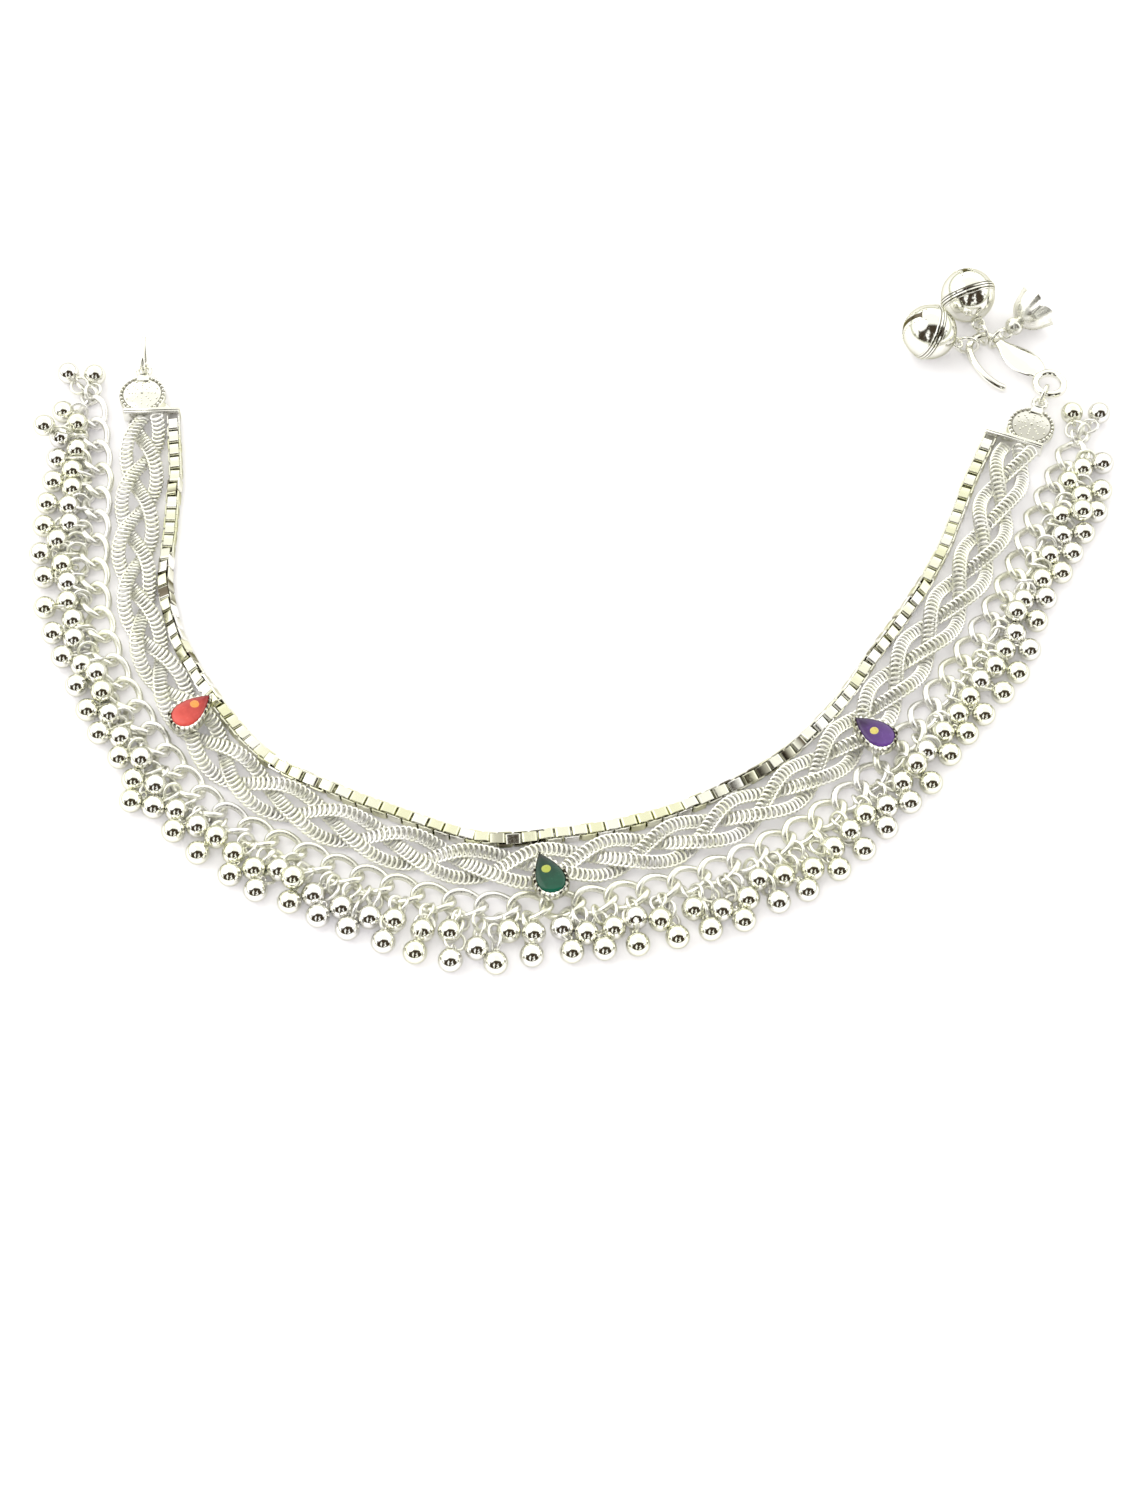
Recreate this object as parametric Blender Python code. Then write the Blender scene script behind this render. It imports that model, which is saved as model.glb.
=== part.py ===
"""Payal anklet, lying open on a table: box chain, braided curb strands and a chain of ghungroo balls.

The box chain runs along the inner edge, three curb strands are braided beside it, and a twisted
cable chain with round hollow balls runs along the outer edge. A stamped disc is soldered to each
end. The left one carries a pear-shaped eye, and the right one a hammered hook with two round
bells and a flower cap. Three drop-shaped enamel stones in milled settings lie on the braid.
Metres, +Z up, the table at Z = 0.
"""
from math import acos, atan2, cos, hypot, pi, radians, sin

import bmesh
import bpy
import numpy as np
from mathutils import Matrix, Vector

MM = 0.001
TABLE = 0.0
GAP = 0.3 * MM

# Route of the braid's centre line on the table, from the left end to the right, in millimetres
BAND_ROUTE = (
    (-69.5, 36.5), (-69.2, 26.0), (-68.8, 10.0), (-66.9, -2.4), (-61.9, -14.6), (-50.7, -30.3),
    (-37.5, -38.4), (-25.0, -43.6), (-13.0, -46.4), (0.0, -45.6), (12.0, -42.9), (22.0, -38.6),
    (32.5, -32.0), (42.0, -22.4), (49.5, -11.5), (56.5, -1.0), (62.5, 10.0), (66.5, 21.0),
    (70.3, 30.5),
)
ROUTE_STEPS = 40

# How far the box chain lies inside the route: share of the route's length, distance
BOX_CHAIN_LIE = (
    (0.00, 4.5 * MM), (0.05, 5.5 * MM), (0.10, 5.3 * MM), (0.14, 4.5 * MM), (0.19, 4.5 * MM),
    (0.26, 4.8 * MM), (0.36, 5.2 * MM), (0.41, 5.4 * MM), (0.47, 4.6 * MM), (0.52, 5.1 * MM),
    (0.70, 5.0 * MM), (0.86, 5.3 * MM), (0.92, 5.6 * MM), (1.00, 4.9 * MM),
)
BOX_CHAIN_SIDE = 2.1 * MM
BOX_CHAIN_STEP = 4.6 * MM

STRANDS = 3
STRAND_WIRE = 1.2 * MM
STRAND_POINTS_PER_TURN = 8
BRAID_TURN = 30.0 * MM
BRAID_HALF_WIDTH = 3.5 * MM

LINK_HALF_LENGTH = 2.95 * MM
LINK_HALF_WIDTH = 2.0 * MM
LINK_WIRE = 1.0 * MM
LINK_PLAY = 0.25 * MM
LINK_PITCH = 2 * LINK_HALF_LENGTH - LINK_WIRE - LINK_PLAY
LINK_TWIST = 0.68
LINK_POINTS = 10
WIRE_SIDES = 5

# The link chain runs past the braid's ends, and turns aside there: share, distance
CHAIN_OVERHANG = 5.0 * MM
CHAIN_TURN_ASIDE = ((0.00, 2.0 * MM), (0.05, 0.4 * MM), (0.10, 0.0), (0.92, 0.0), (1.00, 1.6 * MM))

# The free length of the balls' loops and rings, from a link to its ball: share of the chain, distance
BALL_DROP = (
    (0.00, 0.35 * MM), (0.04, 1.75 * MM), (0.08, 3.35 * MM), (0.15, 3.95 * MM), (0.21, 1.55 * MM),
    (0.30, 2.15 * MM), (0.37, 3.75 * MM), (0.47, 4.95 * MM), (0.52, 3.95 * MM), (0.59, 4.15 * MM),
    (0.65, 4.95 * MM), (0.72, 2.55 * MM), (0.77, 2.95 * MM), (0.82, 3.95 * MM), (0.88, 1.95 * MM),
    (0.95, 3.35 * MM), (1.00, 0.55 * MM),
)
BALL_DIAMETER = 3.5 * MM
BALL_SIDES = 10
# Rows of a ball's profile from its pole: share of the radius across, and along its axis
BALL_PROFILE = ((0.0, -1.0), (0.88, -0.5), (0.98, 0.3))
BALL_NECK = 0.8 * MM
BALL_NECK_LENGTH = 0.26 * MM
# How far the balls stray from an even row
BALL_SPREAD = LINK_PITCH - BALL_DIAMETER - GAP
GOLDEN = 0.618034

RING_RADIUS = 1.75 * MM
RING_WIRE = 0.6 * MM
RING_POINTS = 10

# An end plate: its base, the rib at the chains' ends and the stamped disc with its lug
PLATE_THICKNESS = 1.2 * MM
PLATE_LENGTH = 3.4 * MM
PLATE_INSET = 0.2 * MM
PLATE_TIP_WIDTH = 5.2 * MM
RIB_WIDTH = 0.9 * MM
RIB_HEIGHT = 2 * STRAND_WIRE + GAP
DISC_DIAMETER = 7.4 * MM
DISC_THICKNESS = 1.2 * MM
DISC_SOLDER_DEPTH = 0.24 * MM
DISC_DOME = 0.5 * MM
DISC_RIM = 0.6 * MM
# Rows of the disc's dome: share of its radius, share of the dome's height
DISC_DOME_ROWS = ((0.6, 0.7), (0.0, 1.0))
DISC_ASIDE = 0.6 * MM
DISC_SIDES = 20
LUG_HOLE = RING_WIRE + 3 * GAP
LUG_WALL = 0.55 * MM
LUG_THICKNESS = 0.8 * MM
LUG_FROM_DISC = 1.2 * MM
LUG_POINTS = 8

EYE_LENGTH = 6.2 * MM
EYE_WIDTH = 4.0 * MM
EYE_WIRE = 0.7 * MM
EYE_LEAN = radians(25)
EYE_POINTS = 16

HOOK_WIRE = 1.2 * MM
HOOK_LEAF_WIDTH = 5.0 * MM
HOOK_LEAF_THICKNESS = 0.8 * MM
HOOK_EYE_RADIUS = 2.27 * MM
HOOK_EYE_POINTS = 14
HOOK_SIDES = 6
# The way from the right lug to the hook's eye, in degrees from +X
HOOK_HEADING = 64.4
# The hook's wire from its open tip to its eye, in millimetres: x and y from the eye's middle,
# height over the table, and the share of the leaf's width
HOOK_ROUTE = (
    (-6.9, 0.1, 0.75, 0.0), (-8.3, 0.8, 0.85, 0.0), (-10.2, 2.5, 1.2, 0.0), (-11.7, 4.8, 1.65, 0.0),
    (-12.4, 7.2, 2.0, 0.0), (-11.7, 9.2, 2.05, 0.0), (-9.9, 10.2, 2.05, 0.0), (-8.2, 9.6, 2.05, 0.0),
    (-6.9, 8.1, 2.05, 0.15), (-5.6, 6.6, 2.0, 0.65), (-4.2, 5.2, 2.0, 1.0), (-2.9, 4.0, 2.0, 0.8),
    (-1.9, 2.8, 2.05, 0.3), (-1.3, 1.9, 2.05, 0.0),
)
# What hangs on the hook: name, the place on its route in points, and the way from the drop to it
DROPS = (
    ("bell_low", 4.45, (1.0, -0.1)), ("bell_high", 6.1, (0.35, -0.94)), ("flower_cap", 7.2, (-0.78, -0.62)),
)

BAIL_RADIUS = 0.95 * MM
BAIL_WIRE = 0.5 * MM

BELL_DIAMETER = 8.8 * MM
BELL_WALL = 0.5 * MM
BELL_SIDES = 10
BELL_DROOP = radians(24)
# The two cups' flanges, which make the double rim
BELL_RIM_REACH = 0.1 * MM
BELL_RIM_HEIGHT = 0.8 * MM
BELL_LATITUDES = (22, 55)
BELL_INNER_LATITUDES = (-50, 0, 50)
BELL_SLIT = 1.2 * MM
# The slit's depth from the bell's foot, as a share of its radius
BELL_SLIT_DEPTH = 0.55

CAP_LENGTH = 6.6 * MM
CAP_MOUTH = 7.6 * MM
CAP_WALL = 0.6 * MM
CAP_PETALS = 6
CAP_PETAL_LENGTH = 1.3 * MM
CAP_PETAL_TAPER = 0.16
CAP_DROOP = radians(14)
# Rows of the cap's bulb and neck: radius, share of the cap's length from the bail
CAP_STEM = ((0.5 * MM, -0.05), (1.25 * MM, 0.11), (1.25 * MM, 0.24), (1.0 * MM, 0.36))
# Where the flared cup's outside and hollow start: share of the mouth's radius, share of the length
CAP_THROAT = (0.55, 0.62)
CAP_HOLLOW = (0.35, 0.66)

SETTING_LENGTH = 7.8 * MM
SETTING_WIDTH = 5.2 * MM
SETTING_WALL = 0.5 * MM
SETTING_HEIGHT = 1.5 * MM
SETTING_FLOOR = 0.5 * MM
SETTING_TEETH = 15
TOOTH_DEPTH = 0.22 * MM
STONE_GAP = 0.12 * MM
STONE_HEIGHT = 1.15 * MM
STONE_GIRDLE = 0.8 * MM
STONE_TABLE = 0.78

# Each stone: name, its distance along the route and outward from it, the turn of its tip from
# the route's direction in degrees, its colour
STONES = (
    ("red", 60.3 * MM, -0.5 * MM, 102.4, (0.72, 0.06, 0.05)),
    ("green", 121.3 * MM, 2.6 * MM, 106.3, (0.02, 0.20, 0.10)),
    ("purple", 174.3 * MM, 2.5 * MM, 90.3, (0.16, 0.07, 0.32)),
)

SILVER = (0.86, 0.86, 0.84)


def clear_scene():
    for obj in list(bpy.data.objects):
        bpy.data.objects.remove(obj, do_unlink=True)


def material(name, colour, roughness, metallic):
    made = bpy.data.materials.new(name)
    made.use_nodes = True
    shader = made.node_tree.nodes["Principled BSDF"]
    shader.inputs["Base Color"].default_value = (*colour, 1.0)
    shader.inputs["Roughness"].default_value = roughness
    shader.inputs["Metallic"].default_value = metallic
    return made


class Route:
    """A smooth line on the table, measured by its own length, with its outward side."""

    def __init__(self, line):
        self.line = line
        steps = np.linalg.norm(np.diff(line, axis=0), axis=1)
        self.distance = np.concatenate([[0.0], np.cumsum(steps)])
        self.length = float(self.distance[-1])
        tangent = np.gradient(line, axis=0)
        tangent /= np.linalg.norm(tangent, axis=1)[:, None]
        self.outward = np.stack([tangent[:, 1], -tangent[:, 0]], axis=1)

    def at(self, distance, aside=0.0, height=0.0):
        """The point at a distance along the route, set aside outward and up."""
        place = [np.interp(distance, self.distance, self.line[:, k]) for k in (0, 1)]
        way = self.side(distance)
        return Vector((place[0] + way.x * aside, place[1] + way.y * aside, height))

    def side(self, distance):
        way = [np.interp(distance, self.distance, self.outward[:, k]) for k in (0, 1)]
        return Vector((way[0], way[1], 0.0)).normalized()

    def along(self, distance):
        way = self.side(distance)
        return Vector((-way.y, way.x, 0.0))


def smooth_route(points):
    """A curve through the points, each span a cubic whose ends follow the neighbours."""
    known = np.array(points) * MM
    known = np.vstack([2 * known[0] - known[1], known, 2 * known[-1] - known[-2]])
    line = []
    for before, start, end, after in zip(known, known[1:], known[2:], known[3:]):
        for step in range(ROUTE_STEPS):
            t = step / ROUTE_STEPS
            straight = 2 * start + (end - before) * t
            bend = (2 * before - 5 * start + 4 * end - after) * t ** 2
            turn = (3 * start - before - 3 * end + after) * t ** 3
            line.append(0.5 * (straight + bend + turn))
    line.append(known[-2])
    return Route(np.array(line))


BAND = smooth_route(BAND_ROUTE)


def from_table(table, share):
    """A table's distance at a share of a length, blended between its rows."""
    shares, distances = zip(*table)
    return float(np.interp(share, shares, distances))


def box_chain_aside(share):
    """Distance of the box chain's centre line inside the route."""
    return from_table(BOX_CHAIN_LIE, share)


def braid_half_width(share):
    """The braid nestles against the box chain, so it narrows where the box chain lies closer."""
    return min(BRAID_HALF_WIDTH, box_chain_aside(share) - BOX_CHAIN_SIDE / 2 - GAP)


def add_object(name, mesh, finish, smooth=True):
    obj = bpy.data.objects.new(name, mesh)
    bpy.context.scene.collection.objects.link(obj)
    mesh.materials.append(finish)
    if smooth:
        mesh.shade_smooth()
        mesh.set_sharp_from_angle(angle=radians(40))
    return obj


def add_mesh(name, bm, finish, smooth=True):
    bmesh.ops.recalc_face_normals(bm, faces=bm.faces)
    mesh = bpy.data.meshes.new(name)
    bm.to_mesh(mesh)
    bm.free()
    return add_object(name, mesh, finish, smooth)


def add_tube(name, points, radius, sides, turned, finish):
    """A chain's plain tube: a polyline with a round or square bevel and filled ends."""
    curve = bpy.data.curves.new(name, "CURVE")
    curve.dimensions = "3D"
    curve.twist_mode = "Z_UP"
    curve.bevel_depth = radius
    curve.bevel_resolution = (sides - 4) // 2
    curve.use_fill_caps = True
    spline = curve.splines.new("POLY")
    spline.points.add(len(points) - 1)
    for corner, place in zip(spline.points, points):
        corner.co = (*place, 1.0)
        corner.tilt = turned
    obj = bpy.data.objects.new(name, curve)
    bpy.context.scene.collection.objects.link(obj)
    curve.materials.append(finish)
    return obj


def bridge(bm, rings, closed):
    """Skin a row of equal rings of vertices, closing the row or capping its two ends."""
    count = len(rings[0])
    pairs = list(zip(rings, rings[1:]))
    if closed:
        pairs.append((rings[-1], rings[0]))
    rows = []
    for first, second in pairs:
        corners = [(k, (k + 1) % count) for k in range(count)]
        rows.append([bm.faces.new((first[k], first[n], second[n], second[k])) for k, n in corners])
    if not closed:
        bm.faces.new(list(reversed(rings[0])))
        bm.faces.new(rings[-1])
    return rows


def bridge_by_turn(bm, first, second, axis):
    """Join two rings of vertices round the same axis with triangles, taken in order of their turn."""
    axis = axis.normalized()
    across = axis.orthogonal().normalized()
    lift = axis.cross(across)
    corners = []
    for ring in (first, second):
        middle = sum((vert.co for vert in ring), Vector()) / len(ring)
        for vert in ring:
            spread = vert.co - middle
            corners.append((atan2(spread.dot(lift), spread.dot(across)), ring is second, vert))
    corners.sort(key=lambda corner: corner[0])
    latest = {side: [vert for turn, on, vert in corners if on == side][-1] for side in (False, True)}
    for turn, side, vert in corners:
        bm.faces.new((latest[side], vert, latest[not side]))
        latest[side] = vert


def add_wire_loop(bm, points, radius, sides, up):
    """A closed wire through the points, whose section is laid out from the loop's up direction.

    It returns the faces as a row for each stretch of wire, from point to point.
    """
    rings = []
    count = len(points)
    for k, place in enumerate(points):
        tangent = (points[(k + 1) % count] - points[k - 1]).normalized()
        across = up.cross(tangent).normalized()
        lift = tangent.cross(across)
        turns = [2 * pi * n / sides for n in range(sides)]
        rings.append([bm.verts.new(place + (across * cos(a) + lift * sin(a)) * radius) for a in turns])
    return bridge(bm, rings, closed=True)


def add_ring(bm, centre, normal, radius, wire, segments, sides, start=Vector((0, 0, 1))):
    """A round wire ring about its normal."""
    first = (start - normal * start.dot(normal)).normalized()
    second = normal.cross(first)
    turns = [2 * pi * k / segments for k in range(segments)]
    points = [centre + (first * cos(a) + second * sin(a)) * radius for a in turns]
    add_wire_loop(bm, points, wire / 2, sides, normal)


def add_turned(bm, profile, sides, centre, axis, open_end=False):
    """A turned body: rows of radius and distance along the axis, where a radius of 0 is a pole.

    It returns the last row of vertices, which can be left open for a neck.
    """
    guide = Vector((0, 0, 1)) if abs(axis.z) < 0.9 else Vector((1, 0, 0))
    first = axis.cross(guide).normalized()
    second = axis.cross(first)
    rows = []
    for radius, distance in profile:
        place = centre + axis * distance
        if radius == 0:
            rows.append([bm.verts.new(place)])
            continue
        turns = [2 * pi * k / sides for k in range(sides)]
        rows.append([bm.verts.new(place + (first * cos(a) + second * sin(a)) * radius) for a in turns])
    for row, following in zip(rows, rows[1:]):
        for k in range(sides):
            after = (k + 1) % sides
            if len(row) == 1:
                bm.faces.new((row[0], following[k], following[after]))
            elif len(following) == 1:
                bm.faces.new((row[after], row[k], following[0]))
            else:
                bm.faces.new((row[after], row[k], following[k], following[after]))
    if len(rows[0]) > 1:
        bm.faces.new(list(reversed(rows[0])))
    if len(rows[-1]) > 1 and not open_end:
        bm.faces.new(rows[-1])
    return rows[-1]


def add_prism(bm, outline, bottom, top):
    """An upright solid of an outline."""
    low = [bm.verts.new((x, y, bottom)) for x, y in outline]
    high = [bm.verts.new((x, y, top)) for x, y in outline]
    bridge(bm, [low, high], closed=False)


def unite(obj, *others):
    """Fuse the other objects into this one, and remove them."""
    for other in others:
        join = obj.modifiers.new("join", "BOOLEAN")
        join.operation = "UNION"
        join.solver = "EXACT"
        join.object = other
    bake(obj)
    for other in others:
        bpy.data.objects.remove(other, do_unlink=True)
    return obj


def cut(obj, *cutters):
    for cutter in cutters:
        hole = obj.modifiers.new("cut", "BOOLEAN")
        hole.operation = "DIFFERENCE"
        hole.solver = "EXACT"
        hole.object = cutter
    bake(obj)
    for cutter in cutters:
        bpy.data.objects.remove(cutter, do_unlink=True)
    return obj


def bake(obj):
    """Put the modifiers' result into the mesh."""
    bpy.context.view_layer.update()
    evaluated = obj.evaluated_get(bpy.context.evaluated_depsgraph_get())
    mesh = bpy.data.meshes.new_from_object(evaluated)
    obj.modifiers.clear()
    obj.data = mesh


def build_box_chain(finish):
    """The box chain as a square tube, level on the table."""
    count = int(BAND.length // BOX_CHAIN_STEP)
    points = []
    for k in range(count + 1):
        share = k / count
        aside = -box_chain_aside(share)
        points.append(BAND.at(share * BAND.length, aside, TABLE + BOX_CHAIN_SIDE / 2))
    return add_tube("box_chain", points, BOX_CHAIN_SIDE / 2 ** 0.5, 4, pi / 4, finish)


def braid_place(distance, phase):
    """A strand's place in the braid: side to side once a turn, and up and down twice."""
    half_span = braid_half_width(distance / BAND.length) - STRAND_WIRE / 2
    reach = half_span / cos(pi / STRAND_POINTS_PER_TURN)
    lift = (STRAND_WIRE + GAP) / 2
    over = 1 if sin(2 * phase) > 0 else -1
    height = TABLE + STRAND_WIRE / 2 + lift + over * lift
    return BAND.at(distance, reach * sin(phase), height)


def build_strand(number, finish):
    """One strand, with its points halfway between the braid's crossings."""
    start_phase = 2 * pi * number / STRANDS
    step = 2 * pi / STRAND_POINTS_PER_TURN
    end_phase = start_phase + 2 * pi * BAND.length / BRAID_TURN
    first = int(start_phase / step + 0.5)
    last = int(end_phase / step + 0.5)
    phases = [(k + 0.5) * step for k in range(first, last)]
    phases = [start_phase] + [phase for phase in phases if phase - start_phase > step / 3] + [end_phase]
    points = [braid_place((phase - start_phase) * BRAID_TURN / (2 * pi), phase) for phase in phases]
    names = "abc"
    return add_tube(f"braid_strand_{names[number]}", points, STRAND_WIRE / 2, 8, 0.0, finish)


def link_line():
    """The link chain's centre line: beside the braid, past its ends, and aside at both ends."""
    clear = BRAID_HALF_WIDTH + GAP + LINK_WIRE / 2 + LINK_HALF_WIDTH
    shares = BAND.distance / BAND.length
    aside = np.array([clear + from_table(CHAIN_TURN_ASIDE, share) for share in shares])
    line = BAND.line + BAND.outward * aside[:, None]
    first = line[0] + (line[0] - line[1]) / np.linalg.norm(line[0] - line[1]) * CHAIN_OVERHANG
    last = line[-1] + (line[-1] - line[-2]) / np.linalg.norm(line[-1] - line[-2]) * CHAIN_OVERHANG
    return Route(np.vstack([first, line, last]))


def link_points(place, along, outward):
    """The centre line of one twisted link: its two ends lean opposite ways to pass the next link."""
    up = Vector((0, 0, 1))
    points = []
    for k in range(LINK_POINTS):
        turn = 2 * pi * (k - 0.5) / LINK_POINTS
        swing = outward * cos(LINK_TWIST * cos(turn)) + up * sin(LINK_TWIST * cos(turn))
        points.append(place + along * LINK_HALF_LENGTH * cos(turn) + swing * LINK_HALF_WIDTH * sin(turn))
    return points


def ball_scatter(number):
    """How far ball number lies along and out from its even place, each between -0.5 and 0.5."""
    return (number * GOLDEN) % 1 - 0.5, (number * GOLDEN * GOLDEN * 3) % 1 - 0.5


def add_ball(bm, face, centre):
    """A ball with a neck for its loop and jump ring, grown from a face of the link's wire."""
    radius = BALL_DIAMETER / 2
    foot = list(face.verts)
    anchor = face.calc_center_median()
    axis = (anchor - centre).normalized()
    bm.faces.remove(face)
    profile = [(radius * across, radius * along) for across, along in BALL_PROFILE]
    shoulder = add_turned(bm, profile, BALL_SIDES, centre, axis, open_end=True)
    neck = []
    for corner in foot:
        spread = corner.co - anchor
        spread = (spread - axis * spread.dot(axis)).normalized() * BALL_NECK / 2
        neck.append(bm.verts.new(centre + axis * (radius + BALL_NECK_LENGTH) + spread))
    bridge_by_turn(bm, shoulder, neck, axis)
    bridge_by_turn(bm, neck, foot, axis)


def join_faces(bm, first, second):
    """Solder two wires together where one face of each faces the other."""
    axis = first.calc_center_median() - second.calc_center_median()
    corners = list(first.verts), list(second.verts)
    bm.faces.remove(first)
    bm.faces.remove(second)
    bridge_by_turn(bm, *corners, axis)


def build_ghungroo_chain(finish):
    """The cable chain with its balls, in two halves whose end links interlock without touching."""
    rise = TABLE + LINK_WIRE / 2 + LINK_HALF_WIDTH * 0.5 ** 0.5 * sin(LINK_TWIST * 0.5 ** 0.5)
    line = link_line()
    count = int((line.length - 2 * LINK_HALF_LENGTH) // LINK_PITCH) + 1
    first = (line.length - (count - 1) * LINK_PITCH) / 2
    half = count // 2
    front, back, outermost = 0, LINK_POINTS // 2, LINK_POINTS // 4
    inner_side, outer_side = WIRE_SIDES // 2, 0
    for name, numbers in (("left", range(half)), ("right", range(half, count))):
        bm = bmesh.new()
        waiting = None
        for number in numbers:
            distance = first + number * LINK_PITCH
            place = line.at(distance, 0.0, rise)
            along, outward = line.along(distance), line.side(distance)
            loop = link_points(place, along, outward)
            wire = add_wire_loop(bm, loop, LINK_WIRE / 2, WIRE_SIDES, Vector((0, 0, 1)))
            if waiting:
                join_faces(bm, waiting, wire[back][inner_side])
            waiting = wire[front][inner_side]
            shift, stretch = ball_scatter(number)
            drop = from_table(BALL_DROP, distance / line.length) + stretch * BALL_SPREAD
            reach = LINK_HALF_WIDTH + LINK_WIRE / 2 + max(drop, 0) + BALL_DIAMETER / 2
            centre = line.at(distance + shift * BALL_SPREAD, reach, TABLE + BALL_DIAMETER / 2)
            hung_from = outermost + (1 if shift < 0 else 0)
            add_ball(bm, wire[hung_from][outer_side], centre)
        add_mesh(f"ghungroo_chain_{name}", bm, finish)


def drop_outline(length, width, points):
    """A drop's outline about its centre, its tip at +X: a round end and two straight sides to the tip."""
    radius = width / 2
    round_centre = radius - length / 2
    to_tip = length / 2 - round_centre
    opening = acos(radius / to_tip)
    outline = []
    round_points = points * 2 // 3
    for k in range(round_points + 1):
        turn = opening + (2 * pi - 2 * opening) * k / round_points
        outline.append((round_centre + radius * cos(turn), radius * sin(turn)))
    side_points = (points - round_points) // 2
    for k in range(1, side_points):
        share = k / side_points
        last_x, last_y = outline[round_points]
        outline.append((last_x + (length / 2 - last_x) * share, last_y * (1 - share)))
    outline.append((length / 2, 0.0))
    for k in range(side_points - 1, 0, -1):
        share = k / side_points
        first_x, first_y = outline[0]
        outline.append((first_x + (length / 2 - first_x) * share, first_y * (1 - share)))
    return outline


def place_on_braid(obj, distance, aside, turn, height):
    """Lay a drop on the braid, its tip turned from the route's direction."""
    along = BAND.along(distance)
    angle = atan2(along.y, along.x) + radians(turn)
    obj.matrix_world = Matrix.Translation(BAND.at(distance, aside, height)) @ Matrix.Rotation(angle, 4, "Z")


def build_setting(name, distance, aside, turn, finish):
    """A drop-shaped cup with a milled edge."""
    bm = bmesh.new()
    teeth = []
    outline = drop_outline(SETTING_LENGTH, SETTING_WIDTH, SETTING_TEETH * 2)
    for k, (x, y) in enumerate(outline):
        far = hypot(x, y)
        keep = 1 - (TOOTH_DEPTH / far if k % 2 else 0)
        teeth.append((x * keep, y * keep))
    inner_length = SETTING_LENGTH - 2 * SETTING_WALL - TOOTH_DEPTH * 2
    inner_width = SETTING_WIDTH - 2 * SETTING_WALL - TOOTH_DEPTH * 2
    inner = drop_outline(inner_length, inner_width, SETTING_TEETH * 2)
    bottom = [bm.verts.new((x, y, 0.0)) for x, y in teeth]
    top = [bm.verts.new((x, y, SETTING_HEIGHT)) for x, y in teeth]
    lip = [bm.verts.new((x, y, SETTING_HEIGHT)) for x, y in inner]
    well = [bm.verts.new((x, y, SETTING_FLOOR)) for x, y in inner]
    bridge(bm, [bottom, top, lip, well], closed=False)
    setting = add_mesh(f"setting_{name}", bm, finish, smooth=False)
    place_on_braid(setting, distance, aside, turn, seat_height())


def seat_height():
    """The settings lie just clear of the braid's highest strand."""
    return TABLE + 2 * STRAND_WIRE + GAP + STONE_GAP


def build_stone(name, distance, aside, turn, finish):
    """A drop with a flat table, a crown facet for each side and a flat base."""
    bm = bmesh.new()
    trim = 2 * (SETTING_WALL + TOOTH_DEPTH + STONE_GAP)
    length, width = SETTING_LENGTH - trim, SETTING_WIDTH - trim
    points = SETTING_TEETH
    rows = ((1.0, 0.0), (1.0, STONE_GIRDLE), (STONE_TABLE, STONE_HEIGHT))
    rings = []
    for share, height in rows:
        outline = drop_outline(length, width, points)
        rings.append([bm.verts.new((x * share, y * share, height)) for x, y in outline])
    bridge(bm, rings, closed=False)
    stone = add_mesh(f"stone_{name}", bm, finish, smooth=False)
    place_on_braid(stone, distance, aside, turn, seat_height() + SETTING_FLOOR + STONE_GAP)


def build_end_plate(name, centre, away, outward, spans, finish):
    """Base, rib and stamped disc of one end, soldered into one piece, with a drilled lug."""
    inward_span, outward_span = spans

    def local(forward, aside):
        place = centre + away * forward + outward * aside
        return place.x, place.y

    base = bmesh.new()
    tip = PLATE_TIP_WIDTH / 2
    near_side, far_side = PLATE_INSET - inward_span, outward_span - PLATE_INSET
    corners = ((-PLATE_LENGTH, near_side), (0.0, -tip), (0.0, tip), (-PLATE_LENGTH, far_side))
    add_prism(base, [local(*corner) for corner in corners], TABLE, TABLE + PLATE_THICKNESS)
    rib = bmesh.new()
    near, far = -PLATE_LENGTH - RIB_WIDTH / 2, -PLATE_LENGTH + RIB_WIDTH / 2
    corners = ((near, -inward_span), (far, -inward_span), (far, outward_span), (near, outward_span))
    add_prism(rib, [local(*corner) for corner in corners], TABLE, TABLE + RIB_HEIGHT)
    disc = bmesh.new()
    radius = DISC_DIAMETER / 2
    underside = PLATE_THICKNESS - DISC_SOLDER_DEPTH
    face = underside + DISC_THICKNESS
    profile = [(radius, underside), (radius, face), (radius - DISC_RIM, face)]
    profile += [(radius * across, face + DISC_DOME * lift) for across, lift in DISC_DOME_ROWS]
    add_turned(disc, profile, DISC_SIDES, Vector((centre.x, centre.y, TABLE)), Vector((0, 0, 1)))
    lug = bmesh.new()
    half = LUG_HOLE / 2 + LUG_WALL
    end = lug_reach()
    turns = [pi / 2 - pi * k / LUG_POINTS for k in range(LUG_POINTS + 1)]
    tab = [(0.0, -half), (0.0, half)] + [(end + half * cos(a), half * sin(a)) for a in turns]
    lug_bottom = ring_height() - LUG_THICKNESS / 2
    add_prism(lug, [local(*corner) for corner in tab], lug_bottom, lug_bottom + LUG_THICKNESS)
    plate = add_mesh(name, base, finish)
    unite(plate, add_mesh("rib", rib, finish), add_mesh("disc", disc, finish), add_mesh("lug", lug, finish))
    hole = bmesh.new()
    middle = centre + away * lug_reach() + Vector((0, 0, ring_height()))
    drill = ((LUG_HOLE / 2, -LUG_THICKNESS), (LUG_HOLE / 2, LUG_THICKNESS))
    add_turned(hole, drill, RING_POINTS, middle, Vector((0, 0, 1)))
    cut(plate, add_mesh("drill", hole, finish))


def lug_reach():
    """Distance from the disc's centre to the hole in its lug."""
    return DISC_DIAMETER / 2 + LUG_FROM_DISC


def ring_height():
    """Height of the middle of an upright jump ring that stands on the table."""
    return TABLE + RING_RADIUS + RING_WIRE / 2


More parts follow.
